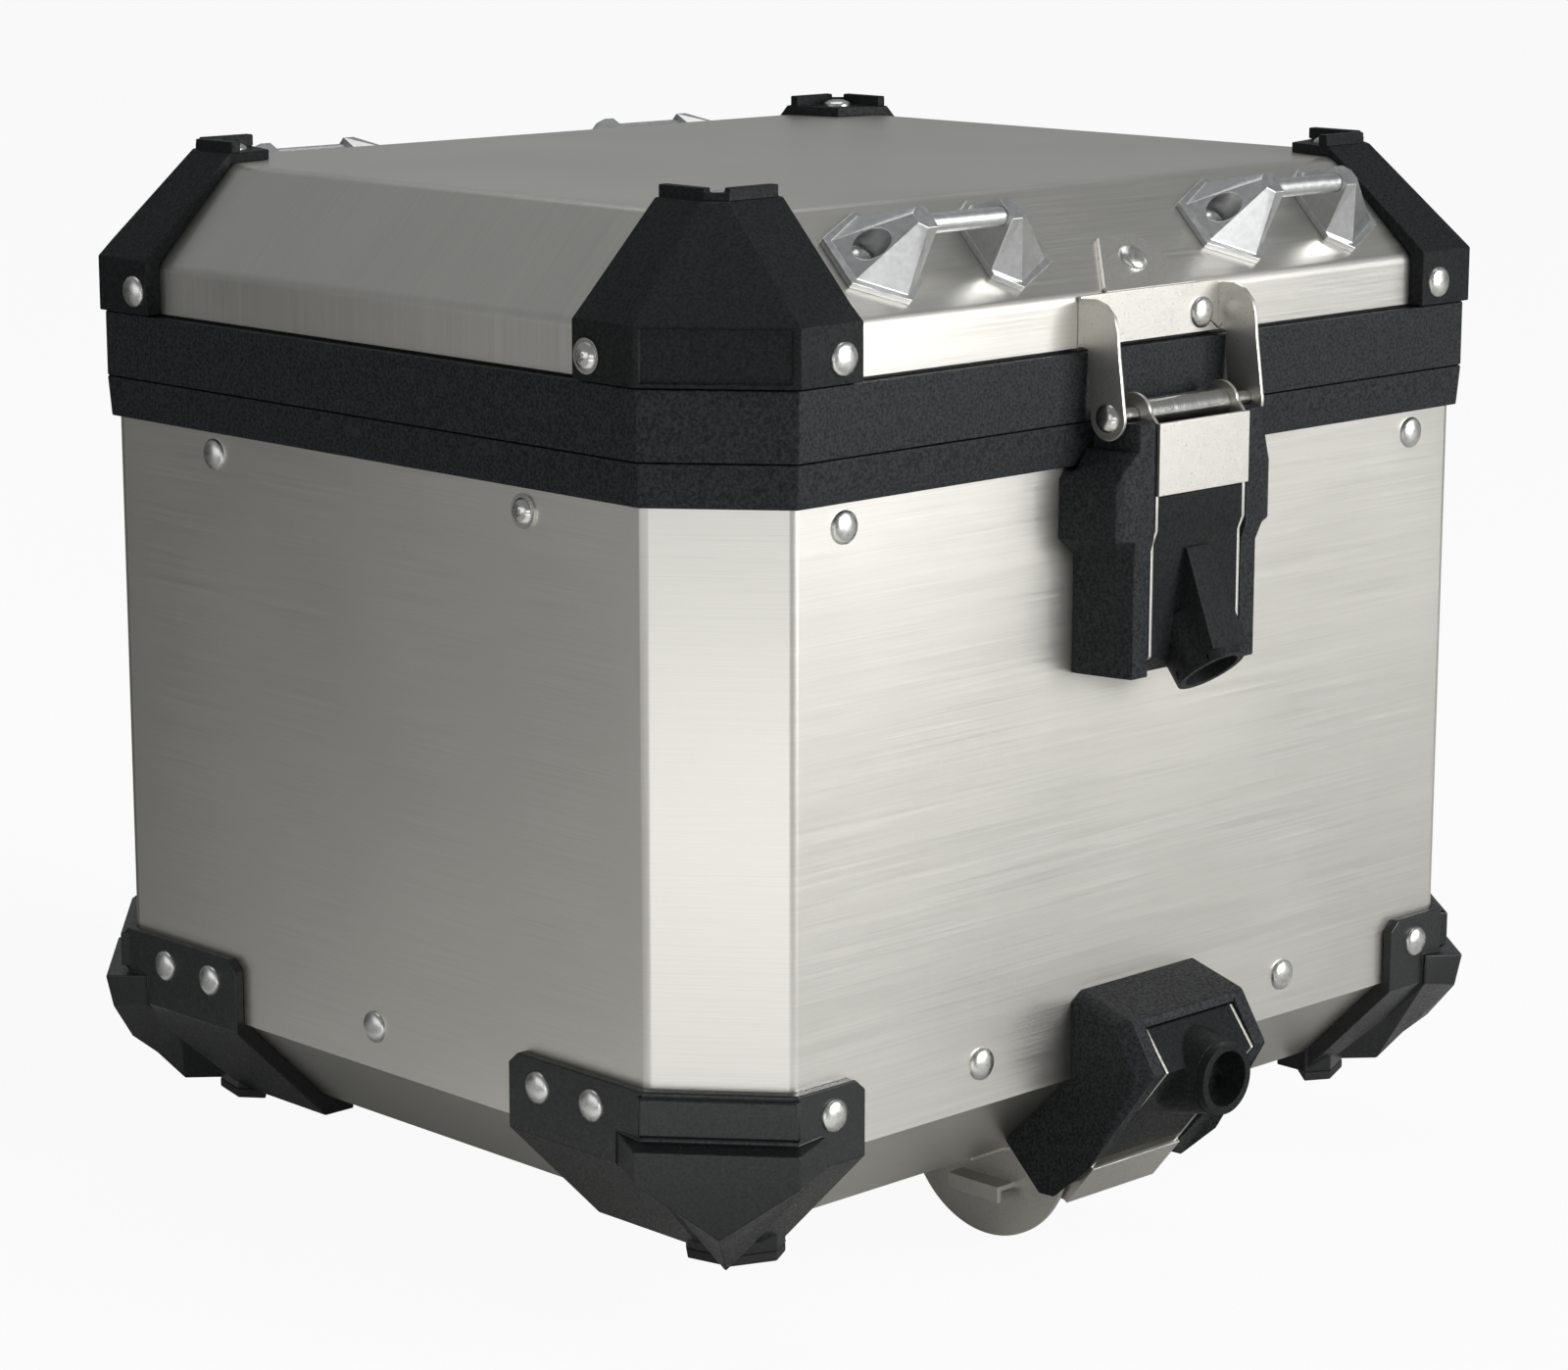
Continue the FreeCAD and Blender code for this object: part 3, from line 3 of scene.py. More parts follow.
import bmesh
import bpy
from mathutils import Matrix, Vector


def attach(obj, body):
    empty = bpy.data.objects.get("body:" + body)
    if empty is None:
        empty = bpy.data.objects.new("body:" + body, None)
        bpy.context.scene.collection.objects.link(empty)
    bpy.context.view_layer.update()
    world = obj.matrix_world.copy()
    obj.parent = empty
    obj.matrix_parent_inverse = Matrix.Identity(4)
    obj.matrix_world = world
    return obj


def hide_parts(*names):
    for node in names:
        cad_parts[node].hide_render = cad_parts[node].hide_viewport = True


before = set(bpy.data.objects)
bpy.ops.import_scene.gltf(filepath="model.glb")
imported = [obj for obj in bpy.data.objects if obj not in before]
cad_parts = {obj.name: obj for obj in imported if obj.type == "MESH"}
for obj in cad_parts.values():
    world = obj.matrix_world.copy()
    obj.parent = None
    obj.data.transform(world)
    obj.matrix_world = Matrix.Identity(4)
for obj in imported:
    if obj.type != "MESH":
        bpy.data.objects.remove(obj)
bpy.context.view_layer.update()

MM = 0.001

# The case, in millimetres from the middle of its floor
SIDE = 210.8                   # outside of the side walls
END = 187.4                    # outside of the front and rear walls
SPLIT = 280.6                  # where the lid meets the body
LID_BAND = 44                  # height of the lid's upright band over the split

# Places of rivets and screws, in millimetres from the middle; each X is used on both sides of it
RIM_RIVET_X = 154.5
RIM_RIVET_Y = 89
RIM_SCREW_Y = -88
WALL_RIVET_X = 84.2
FOOT_RIVET_X = 162.5
FOOT_RIVET_YS = (96, 124.5)
GUARD_RIVET_X = 161
GUARD_RIVET_Y = 128.5
GUARD_TOP_RIVET_X = 164
GUARD_TOP_RIVET_Y = 136.5
BRACKET_SHEET = 2
BRACKET_RIVET_X = 37
BRACKET_RIVET_YS = (-138.4, -104.4)
STRIKE_RIVET_X = 27
HINGE_X = 110
HINGE_PITCH = 20
HINGE_LEAF = 2
HINGE_RIVET_XS = (HINGE_X - HINGE_PITCH, HINGE_X, HINGE_X + HINGE_PITCH)
LASH_X = 92
LASH_RIVET_OUT = 39

scene = bpy.context.scene


# ---------------------------------------------------------------- materials
def linear(hex_colour):
    """An sRGB hex colour as the linear colour that a shader wants."""
    values = [int(hex_colour[i:i + 2], 16) / 255 for i in (1, 3, 5)]
    return [v / 12.92 if v <= 0.04045 else ((v + 0.055) / 1.055) ** 2.4 for v in values] + [1.0]


def add(tree, kind, inputs=None, **settings):
    """Add one node: its settings by name, its inputs as values or as (node, output) links."""
    node = tree.nodes.new(kind)
    for name, value in settings.items():
        setattr(node, name, value)
    for key, value in (inputs or {}).items():
        if isinstance(value, tuple) and isinstance(value[0], bpy.types.Node):
            tree.links.new(value[0].outputs[value[1]], node.inputs[key])
        else:
            node.inputs[key].default_value = value
    return node


def new_material(name, **shader):
    """A material with one Principled shader, its uniform values set on the shader's own sockets."""
    material = bpy.data.materials.new(name)
    material.use_nodes = True
    tree = material.node_tree
    tree.nodes.clear()
    surface = add(tree, "ShaderNodeBsdfPrincipled", shader)
    add(tree, "ShaderNodeOutputMaterial", {"Surface": (surface, "BSDF")})
    return material, tree, surface


def stretched(tree, coords, per_mm):
    """Object coordinates scaled so that one unit of pattern is 1 / per_mm millimetres on each axis."""
    return add(tree, "ShaderNodeMapping", {"Vector": coords, "Scale": [p / MM for p in per_mm]})


def noise(tree, per_mm, **settings):
    """Noise on the piece, per_mm units of pattern to the millimetre on each axis."""
    where = (add(tree, "ShaderNodeTexCoord"), "Object")
    pattern = add(tree, "ShaderNodeTexNoise", {"Vector": (stretched(tree, where, per_mm), "Vector"),
                                               "Scale": 1.0, **settings})
    return (pattern, "Fac")


def colour_between(tree, factor, low, high, dark, light):
    """Two sRGB colours blended by a factor between low and high."""
    ramp = add(tree, "ShaderNodeValToRGB", {"Fac": factor})
    ramp.color_ramp.elements[0].position = low
    ramp.color_ramp.elements[0].color = linear(dark)
    ramp.color_ramp.elements[1].position = high
    ramp.color_ramp.elements[1].color = linear(light)
    return (ramp, "Color")


def number_between(tree, factor, low, high, first, second):
    """The number that goes from first to second as the factor goes from low to high."""
    spread = add(tree, "ShaderNodeMapRange", {"Value": factor, "From Min": low, "From Max": high,
                                              "To Min": first, "To Max": second})
    return (spread, "Result")


def shade(tree, surface, pattern, tones, gloss, relief, height=None):
    """Let a pattern set the colour (low, high, dark, light), the roughness (low, high, first, second)
    and the relief (strength, millimetres); the relief may follow another height."""
    strength, depth = relief
    bump = add(tree, "ShaderNodeBump", {"Height": height or pattern, "Strength": strength,
                                        "Distance": depth * MM})
    ends = {"Base Color": colour_between(tree, pattern, *tones),
            "Roughness": number_between(tree, pattern, *gloss), "Normal": (bump, "Normal")}
    for name, (node, output) in ends.items():
        tree.links.new(node.outputs[output], surface.inputs[name])


def brushed_sheet(name, walls):
    """Brushed and clear-anodised aluminium sheet: a soft grey sheen with hairline streaks.

    Noise drawn out along the brushing and fine across it stands for the scratches. The walls are
    brushed level. The lid is brushed from side to side over its top and its front and rear bands."""
    material, tree, surface = new_material(name, Metallic=1.0)
    across = 1.9                       # lines per mm; real brushing is finer than the render can show
    along = 0.014
    streak = noise(tree, (along, along, across), Detail=3.0, Roughness=0.7)
    if not walls:
        crosswise = noise(tree, (along, across, along), Detail=3.0, Roughness=0.7)
        facing = (add(tree, "ShaderNodeTexCoord"), "Normal")
        parts = add(tree, "ShaderNodeSeparateXYZ", {"Vector": facing})
        front = add(tree, "ShaderNodeMath", {0: (parts, "Y")}, operation="ABSOLUTE")
        on_band = number_between(tree, (front, "Value"), 0.85, 0.95, 0.0, 1.0)
        streak = (add(tree, "ShaderNodeMix", {0: on_band, 2: crosswise, 3: streak}), 0)
    cloud = noise(tree, (0.01,) * 3, Detail=2.0)
    cloud_share = 0.25
    both = add(tree, "ShaderNodeMath", {0: streak, 1: 1 - cloud_share}, operation="MULTIPLY")
    both = add(tree, "ShaderNodeMath", {0: cloud, 1: cloud_share, 2: (both, "Value")},
               operation="MULTIPLY_ADD")
    shade(tree, surface, (both, "Value"), (0.3, 0.7, "#D3D1CB", "#DFDDD7"), (0.3, 0.7, 0.30, 0.40),
          (0.08, 0.04), streak)
    return material


def moulded_nylon(name, dark, light, rough, grain_depth, gleam):
    """Glass-filled nylon, moulded black with a spark-eroded grain: matt, with tiny glints."""
    material, tree, surface = new_material(name, Metallic=0.0, IOR=1.42)
    surface.inputs["Specular IOR Level"].default_value = gleam
    grain = noise(tree, (0.85,) * 3, Detail=2.0, Roughness=0.6)
    shade(tree, surface, grain, (0.36, 0.64, dark, light), (0.3, 0.7, rough + 0.1, rough - 0.1),
          (0.55, grain_depth))
    return material


def blasted_steel(name, dark, light, rough):
    """Glass-blasted stainless sheet: an even pale satin with small dark pits."""
    material, tree, surface = new_material(name, Metallic=1.0)
    pits = noise(tree, (1.3,) * 3, Detail=2.0, Roughness=0.5)
    shade(tree, surface, pits, (0.24, 0.36, dark, light), (0.3, 0.7, rough + 0.08, rough - 0.04),
          (0.25, 0.08))
    return material


def turned_steel(name, dark, light, rough):
    """Turned stainless bar: bright bands with tool marks around its length (X)."""
    material, tree, surface = new_material(name, Metallic=1.0)
    marks = noise(tree, (1.6, 0.1, 0.1), Detail=2.0)
    shade(tree, surface, marks, (0.35, 0.65, dark, light), (0.3, 0.7, rough - 0.05, rough + 0.07),
          (0.15, 0.05))
    return material


def satin_casting(name, dark, light, rough):
    """Die-cast alloy, tumbled and clear-coated: silvery satin with a faint orange peel."""
    material, tree, surface = new_material(name, Metallic=1.0)
    peel = noise(tree, (0.5,) * 3, Detail=3.0)
    shade(tree, surface, peel, (0.35, 0.65, dark, light), (0.3, 0.7, rough - 0.05, rough + 0.05),
          (0.08, 0.04))
    return material


def soft_rubber(name, dark, light):
    """Moulded EPDM rubber: dull black with a dusty bloom."""
    material, tree, surface = new_material(name, Metallic=0.0, IOR=1.52)
    bloom = noise(tree, (0.12,) * 3, Detail=4.0)
    shade(tree, surface, bloom, (0.35, 0.7, dark, light), (0.3, 0.7, 0.72, 0.86), (0.2, 0.1))
    return material


WALL_ALUMINIUM = brushed_sheet("brushed_anodised_aluminium_walls", True)
LID_ALUMINIUM = brushed_sheet("brushed_anodised_aluminium_lid", False)
NYLON = moulded_nylon("moulded_glass_filled_nylon", "#151618", "#2F3133", 0.50, 0.24, 0.20)
NYLON_SMOOTH = moulded_nylon("moulded_nylon_fine_grain", "#141516", "#232526", 0.46, 0.14, 0.16)
NYLON_FEET = moulded_nylon("moulded_nylon_glossy_feet", "#131415", "#232526", 0.36, 0.12, 0.6)
STEEL = blasted_steel("blasted_stainless_sheet", "#8A8882", "#D6D4CE", 0.36)
# A copy of the blasted stainless painted lighter for the base bracket: its paler dark tone lifts the shade
# of the dark floor that the bracket reflects.
STEEL_PAINTED_LIGHTER = blasted_steel("blasted_stainless_painted_lighter", "#A09E98", "#D6D4CE", 0.40)
BAR = turned_steel("turned_stainless_bar", "#CBCAC6", "#D6D5D2", 0.20)
CASTING = satin_casting("tumbled_die_cast_alloy", "#C6C7C7", "#CFD0D0", 0.38)
RIVET_METAL = satin_casting("satin_aluminium_rivet", "#CACAC7", "#D9D9D6", 0.30)
LOCK_METAL = satin_casting("nickel_plated_zinc", "#A9A9A7", "#C4C4C2", 0.22)
RUBBER = soft_rubber("moulded_black_rubber", "#111112", "#1D1D1E")


# ---------------------------------------------------------------- finishing the pieces
def plain(mesh, name, material):
    """An object at the origin that holds the finished mesh."""
    piece = bpy.data.objects.new(name, mesh)
    scene.collection.objects.link(piece)
    mesh.materials.clear()
    mesh.materials.append(material)
    return piece


def smoothed(mesh, angle):
    """Shade a mesh smooth but for edges sharper than an angle in degrees."""
    mesh.polygons.foreach_set("use_smooth", [True] * len(mesh.polygons))
    mesh.set_sharp_from_angle(angle=math.radians(angle))


def evaluated(piece):
    """The piece's mesh with its modifiers worked in, and the modifiers gone."""
    graph = bpy.context.evaluated_depsgraph_get()
    mesh = bpy.data.meshes.new_from_object(piece.evaluated_get(graph))
    piece.modifiers.clear()
    piece.data = mesh
    return mesh


def both_ways(*places):
    """Each place with its mirror image, the middle once."""
    return [side * place for place in places for side in ((1, -1) if place else (1,))]


# Planes across X and across Y, in millimetres, through the middle and through the rivet holes:
# they cut every ring-shaped face open, so that flat faces can be made whole again without rings
CUTS = {
    "body_walls": (both_ways(0, WALL_RIVET_X, RIM_RIVET_X, FOOT_RIVET_X, *HINGE_RIVET_XS),
                   [0, RIM_RIVET_Y, RIM_SCREW_Y] + both_ways(*FOOT_RIVET_YS)),
    "base_pan": (both_ways(0, BRACKET_RIVET_X, WALL_RIVET_X, FOOT_RIVET_X),
                 list(BRACKET_RIVET_YS) + both_ways(0, *FOOT_RIVET_YS)),
    "body_rim": (both_ways(0, RIM_RIVET_X, *HINGE_RIVET_XS), [0, RIM_RIVET_Y, RIM_SCREW_Y]),
    "lid_rim": (both_ways(0, GUARD_RIVET_X, *HINGE_RIVET_XS), both_ways(0, GUARD_RIVET_Y)),
}


def cut_lines(node):
    """The planes that cut a node's faces open, as (axis, place)."""
    if node.startswith("lash_feet"):
        return [(0, x) for x in both_ways(LASH_X - LASH_RIVET_OUT, LASH_X + LASH_RIVET_OUT)]
    across, along = CUTS.get(node, ([0], [0]))
    return [(0, x) for x in across] + [(1, y) for y in along]


def merged(node):
    """A clean copy of a CAD node's mesh: corners joined, flat faces made whole but no face a ring."""
    together = 0.002 * MM
    on_plane = 0.001 * MM
    flat = math.radians(0.4)
    body = bmesh.new()
    body.from_mesh(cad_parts[node].data)
    bmesh.ops.remove_doubles(body, verts=body.verts, dist=together)
    for axis, place in cut_lines(node):
        spot = [place * MM if i == axis else 0.0 for i in range(3)]
        bmesh.ops.bisect_plane(body, geom=body.verts[:] + body.edges[:] + body.faces[:], dist=on_plane,
                               plane_co=spot, plane_no=[float(i == axis) for i in range(3)])
        for edge in body.edges:
            if all(abs(corner.co[axis] - place * MM) < together for corner in edge.verts):
                edge.seam = True
    bmesh.ops.dissolve_limit(body, angle_limit=flat, verts=body.verts, edges=body.edges,
                             delimit={"SEAM"})
    return body


def is_fold(edge, long_mm, low, high):
    """An edge where two broad faces meet: long, and turning by an angle between low and high degrees."""
    if len(edge.link_faces) != 2 or edge.calc_length() < long_mm * MM:
        return False
    return low < math.degrees(edge.calc_face_angle(0.0)) < high


def rounded(body, edges, radius):
    """Round the folds of a bent sheet by a radius in millimetres."""
    if edges:
        bmesh.ops.bevel(body, geom=edges, offset=radius * MM, offset_type="OFFSET", segments=4,
                        profile=0.5, affect="EDGES", clamp_overlap=True, harden_normals=False)


def finish_piece(node, body_name, material, slot, radius, fold):
    """A CAD node with its folds rounded and its edges broken, as its own piece on the same body."""
    body = merged(node)
    if fold:
        size, long_mm, low, high = fold
        rounded(body, [e for e in body.edges if is_fold(e, long_mm, low, high)], size)
    mesh = bpy.data.meshes.new(node)
    body.to_mesh(mesh)
    body.free()
    piece = plain(mesh, "piece_" + node, material)
    edge = piece.modifiers.new("broken_edges", "BEVEL")
    edge.width = radius * MM
    edge.segments = 2
    edge.limit_method = "ANGLE"
    edge.angle_limit = math.radians(28)
    edge.use_clamp_overlap = False
    edge.miter_outer = "MITER_ARC"
    mesh = evaluated(piece)
    mesh.name = node
    smoothed(mesh, 32)
    level = piece.modifiers.new("broad_faces_stay_flat", "WEIGHTED_NORMAL")
    level.weight = 100
    level.keep_sharp = True
    evaluated(piece)
    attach(piece, body_name)
    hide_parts(node)


CORNERS = ("front_left", "front_right", "rear_left", "rear_right")
SIDES = ("left", "right")
PIECES = [
    # node, body, material, slot, edge radius, fold (radius, shortest edge, angles)
    ("body_walls", "case", WALL_ALUMINIUM, "aluminium_sheet", 0.25, (2.2, 150, 30, 60)),
    ("base_pan", "case", WALL_ALUMINIUM, "aluminium_sheet", 0.25, (1.6, 20, 20, 60)),
    ("body_rim", "case", NYLON, "black_nylon", 0.5, None),
    *[("foot_" + corner, "case", NYLON_FEET, "black_nylon", 0.6, None) for corner in CORNERS],
    ("foot_pads", "case", RUBBER, "black_rubber", 0.5, None),
    ("floor_plate", "case", STEEL, "stainless_sheet", 0.25, None),
    ("latch_housing", "case", NYLON, "black_nylon", 0.5, None),
    ("latch_catch", "case", STEEL, "stainless_sheet", 0.2, None),
    ("latch_backing", "case", STEEL, "stainless_sheet", 0.25, None),
    # the base bracket's steel is painted lighter against the shade of the floor it reflects
    ("base_bracket", "case", STEEL_PAINTED_LIGHTER, "stainless_sheet", 0.25, None),
    ("base_lock_housing", "case", NYLON, "black_nylon", 0.5, None),
    ("base_lock_catch", "case", STEEL, "stainless_sheet", 0.2, None),
    ("base_lock_backing", "case", STEEL, "stainless_sheet", 0.25, None),
    ("base_lock_pin", "case", BAR, "stainless_bar", 0.3, None),
    ("lock_housing_screws", "case", BAR, "stainless_bar", 0.25, None),
    ("body_rim_screws", "case", BAR, "stainless_bar", 0.1, None),
    *[("hinge_leaf_body_" + side, "case", STEEL, "stainless_sheet", 0.25, None) for side in SIDES],
    ("hinge_pins", "case", BAR, "stainless_bar", 0.3, None),
    ("lid_shell", "lid", LID_ALUMINIUM, "aluminium_sheet", 0.25, (2.6, 20, 20, 60)),
    ("lid_rim", "lid", NYLON, "black_nylon", 0.5, None),
    ("lid_seal", "lid", RUBBER, "black_rubber", 0.8, None),
    *[("guard_" + corner, "lid", NYLON_SMOOTH, "black_nylon", 0.5, None) for corner in CORNERS],
    ("guard_screws", "lid", BAR, "stainless_bar", 0.1, None),
    *[("lash_feet_" + corner, "lid", CASTING, "cast_alloy", 0.3, None) for corner in CORNERS],
    ("lash_bars", "lid", CASTING, "cast_alloy", 0.3, None),
    ("strike_bracket", "lid", STEEL, "stainless_sheet", 0.3, None),
    ("latch_pin", "lid", BAR, "stainless_bar", 0.25, None),
    *[("hinge_leaf_lid_" + side, "lid", STEEL, "stainless_sheet", 0.25, None) for side in SIDES],
    ("latch_lever", "upper_lever", STEEL, "stainless_sheet", 0.3, None),
    ("latch_cover", "upper_lever", NYLON_SMOOTH, "black_nylon", 0.5, None),
    ("latch_sleeve", "upper_lever", BAR, "stainless_bar", 0.3, None),
    ("latch_barrel", "upper_lever", LOCK_METAL, "plated_zinc", 0.2, None),
    ("latch_plug", "upper_key_cylinder", LOCK_METAL, "plated_zinc", 0.2, None),
    ("latch_cam", "upper_key_cylinder", STEEL, "stainless_sheet", 0.2, None),
    ("base_lever", "lower_lever", STEEL, "stainless_sheet", 0.3, None),
    ("base_cover", "lower_lever", NYLON_SMOOTH, "black_nylon", 0.5, None),
    ("base_barrel", "lower_lever", LOCK_METAL, "plated_zinc", 0.2, None),
    ("base_plug", "lower_key_cylinder", LOCK_METAL, "plated_zinc", 0.2, None),
    ("base_cam", "lower_key_cylinder", STEEL, "stainless_sheet", 0.2, None),
]
for piece_facts in PIECES:
    finish_piece(*piece_facts)


# ---------------------------------------------------------------- rivets
# A blind rivet behind its head, in millimetres
HEAD_RIM = 0.3
SHANK_RADIUS = 2.3
SET_RADIUS = 3.8
SET_LENGTH = 2.2


def rivet_tree():
    """Geometry Nodes: a domed rivet with shank and set end on every point, along the point's 'out'."""
    tree = bpy.data.node_groups.new("blind_rivets", "GeometryNodeTree")
    face = tree.interface
    face.new_socket("Geometry", in_out="INPUT", socket_type="NodeSocketGeometry")
    for name in ("Head radius", "Head height", "Grip"):
        face.new_socket(name, in_out="INPUT", socket_type="NodeSocketFloat")
    face.new_socket("Metal", in_out="INPUT", socket_type="NodeSocketMaterial")
    face.new_socket("Geometry", in_out="OUTPUT", socket_type="NodeSocketGeometry")
    given = add(tree, "NodeGroupInput")

    def maths(operation, first, second=0.0, third=0.0):
        return (add(tree, "ShaderNodeMath", {0: first, 1: second, 2: third}, operation=operation), 0)

    grid = add(tree, "GeometryNodeMeshGrid", {"Size X": 1.0, "Size Y": 2.0, "Vertices X": 33,
                                              "Vertices Y": 17})
    place = add(tree, "GeometryNodeInputPosition")
    split = add(tree, "ShaderNodeSeparateXYZ", {0: (place, 0)})
    around = maths("MULTIPLY", (split, 0), math.tau)
    above = maths("MAXIMUM", (split, 1), 0.0)
    below = maths("MINIMUM", (split, 1), 0.0)
    rise = maths("MULTIPLY", above, math.pi / 2)
    reach = maths("MINIMUM", maths("COSINE", rise), maths("ADD", below, 1.0))
    radius = maths("MULTIPLY", reach, (given, "Head radius"))
    edge = maths("MULTIPLY", maths("GREATER_THAN", (split, 1), 0.001), HEAD_RIM * MM)
    height = maths("ADD", maths("MULTIPLY", maths("SINE", rise), (given, "Head height")), edge)
    spun = add(tree, "ShaderNodeCombineXYZ", {0: maths("MULTIPLY", radius, maths("COSINE", around)),
                                              1: maths("MULTIPLY", radius, maths("SINE", around)),
                                              2: height})
    dome = add(tree, "GeometryNodeSetPosition", {"Geometry": (grid, "Mesh"), "Position": (spun, 0)})
    dome = add(tree, "GeometryNodeMergeByDistance", {"Geometry": (dome, 0), "Distance": 0.01 * MM})

    def stem(radius_mm, length, middle):
        tube = add(tree, "GeometryNodeMeshCylinder", {"Vertices": 24, "Radius": radius_mm * MM,
                                                      "Depth": length})
        shift = add(tree, "ShaderNodeCombineXYZ", {2: middle})
        placed_tube = add(tree, "GeometryNodeTransform", {"Geometry": (tube, "Mesh"),
                                                          "Translation": (shift, 0)})
        return (placed_tube, 0)

    shank = stem(SHANK_RADIUS, (given, "Grip"), maths("MULTIPLY", (given, "Grip"), -0.5))
    set_end = stem(SET_RADIUS, SET_LENGTH * MM,
                   maths("SUBTRACT", SET_LENGTH / -2 * MM, (given, "Grip")))
    whole = add(tree, "GeometryNodeJoinGeometry")
    for part in ((dome, 0), shank, set_end):
        tree.links.new(part[0].outputs[part[1]], whole.inputs[0])
    out = add(tree, "GeometryNodeInputNamedAttribute", {"Name": "out"}, data_type="FLOAT_VECTOR")
    aim = add(tree, "FunctionNodeAlignRotationToVector", {"Vector": (out, 0)}, axis="Z")
    placed = add(tree, "GeometryNodeInstanceOnPoints", {"Points": (given, "Geometry"),
                                                        "Instance": (whole, 0), "Rotation": (aim, 0)})
    real = add(tree, "GeometryNodeRealizeInstances", {"Geometry": (placed, 0)})
    metal = add(tree, "GeometryNodeSetMaterial", {"Geometry": (real, 0), "Material": (given, "Metal")})
    add(tree, "NodeGroupOutput", {"Geometry": (metal, 0)})
    return tree


RIVET_TREE = rivet_tree()


def socket_of(tree, name):
    """The identifier of one of the tree's named inputs."""
    return [s.identifier for s in tree.interface.items_tree
            if s.item_type == "SOCKET" and s.in_out == "INPUT" and s.name == name][0]


def rivets(node, body_name, spots, head, grip):
    """All rivets of one node: spots are (place, outward direction), head is (radius, height)."""
    head_radius, head_height = head
    mesh = bpy.data.meshes.new(node)
    mesh.from_pydata([Vector(place) * MM for place, out in spots], [], [])
    aims = mesh.attributes.new("out", "FLOAT_VECTOR", "POINT")
    aims.data.foreach_set("vector", [c for place, out in spots for c in out])
    piece = plain(mesh, "piece_" + node, RIVET_METAL)
    maker = piece.modifiers.new("rivets", "NODES")
    maker.node_group = RIVET_TREE
    for name, value in (("Head radius", head_radius * MM), ("Head height", head_height * MM),
                        ("Grip", grip * MM), ("Metal", RIVET_METAL)):
        maker[socket_of(RIVET_TREE, name)] = value
    smoothed(evaluated(piece), 40)
    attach(piece, body_name)
    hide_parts(node)


def on_ends(xs, z, stand):
    """Spots on the front and the rear, stand millimetres out from the wall."""
    return ([((x, -END - stand, z), (0, -1, 0)) for x in xs]
            + [((x, END + stand, z), (0, 1, 0)) for x in xs])


def on_sides(ys, z, stand):
    """Spots on both sides, stand millimetres out from the wall."""
    return ([((-SIDE - stand, y, z), (-1, 0, 0)) for y in ys]
            + [((SIDE + stand, y, z), (1, 0, 0)) for y in ys])


# The lid's front slope, in millimetres
SLOPE_RUN = 35.6
SLOPE_RISE = 36.0
SLOPE_LONG = math.hypot(SLOPE_RUN, SLOPE_RISE)
SLOPE_OUT = Vector((0, -SLOPE_RISE, SLOPE_RUN)) / SLOPE_LONG
SLOPE_UP = Vector((0, SLOPE_RUN, SLOPE_RISE)) / SLOPE_LONG
SLOPE_MIDDLE = Vector((0, -END + SLOPE_RUN / 2, SPLIT + LID_BAND + SLOPE_RISE / 2))


def on_slope(x, up, stand, rear=False):
    """A spot on the front slope, up along it from its middle; or its like on the rear slope."""
    place = SLOPE_MIDDLE + SLOPE_UP * up + SLOPE_OUT * stand + Vector((x, 0, 0))
    turn = Vector((-1, -1, 1)) if rear else Vector((1, 1, 1))
    return (tuple(a * b for a, b in zip(place, turn)), tuple(a * b for a, b in zip(SLOPE_OUT, turn)))


def on_leaves(z):
    """Spots on both hinges' leaves of the body or of the lid."""
    return [((side * HINGE_X + x, END + HINGE_LEAF, z), (0, 1, 0))
            for side in (-1, 1) for x in (-HINGE_PITCH, 0, HINGE_PITCH)]


# Heads of the rivets: radius and height, in millimetres
LARGE_HEAD = (6.0, 2.3)
STRIKE_HEAD = (5.8, 2.3)
SMALL_HEAD = (5.0, 2.0)
LASH_HEAD = (4.4, 1.8)

# How far a rivet's seat stands out from the wall, on a foot and on a guard, in millimetres
FOOT_WALL = 4
GUARD_OUT = 6.2

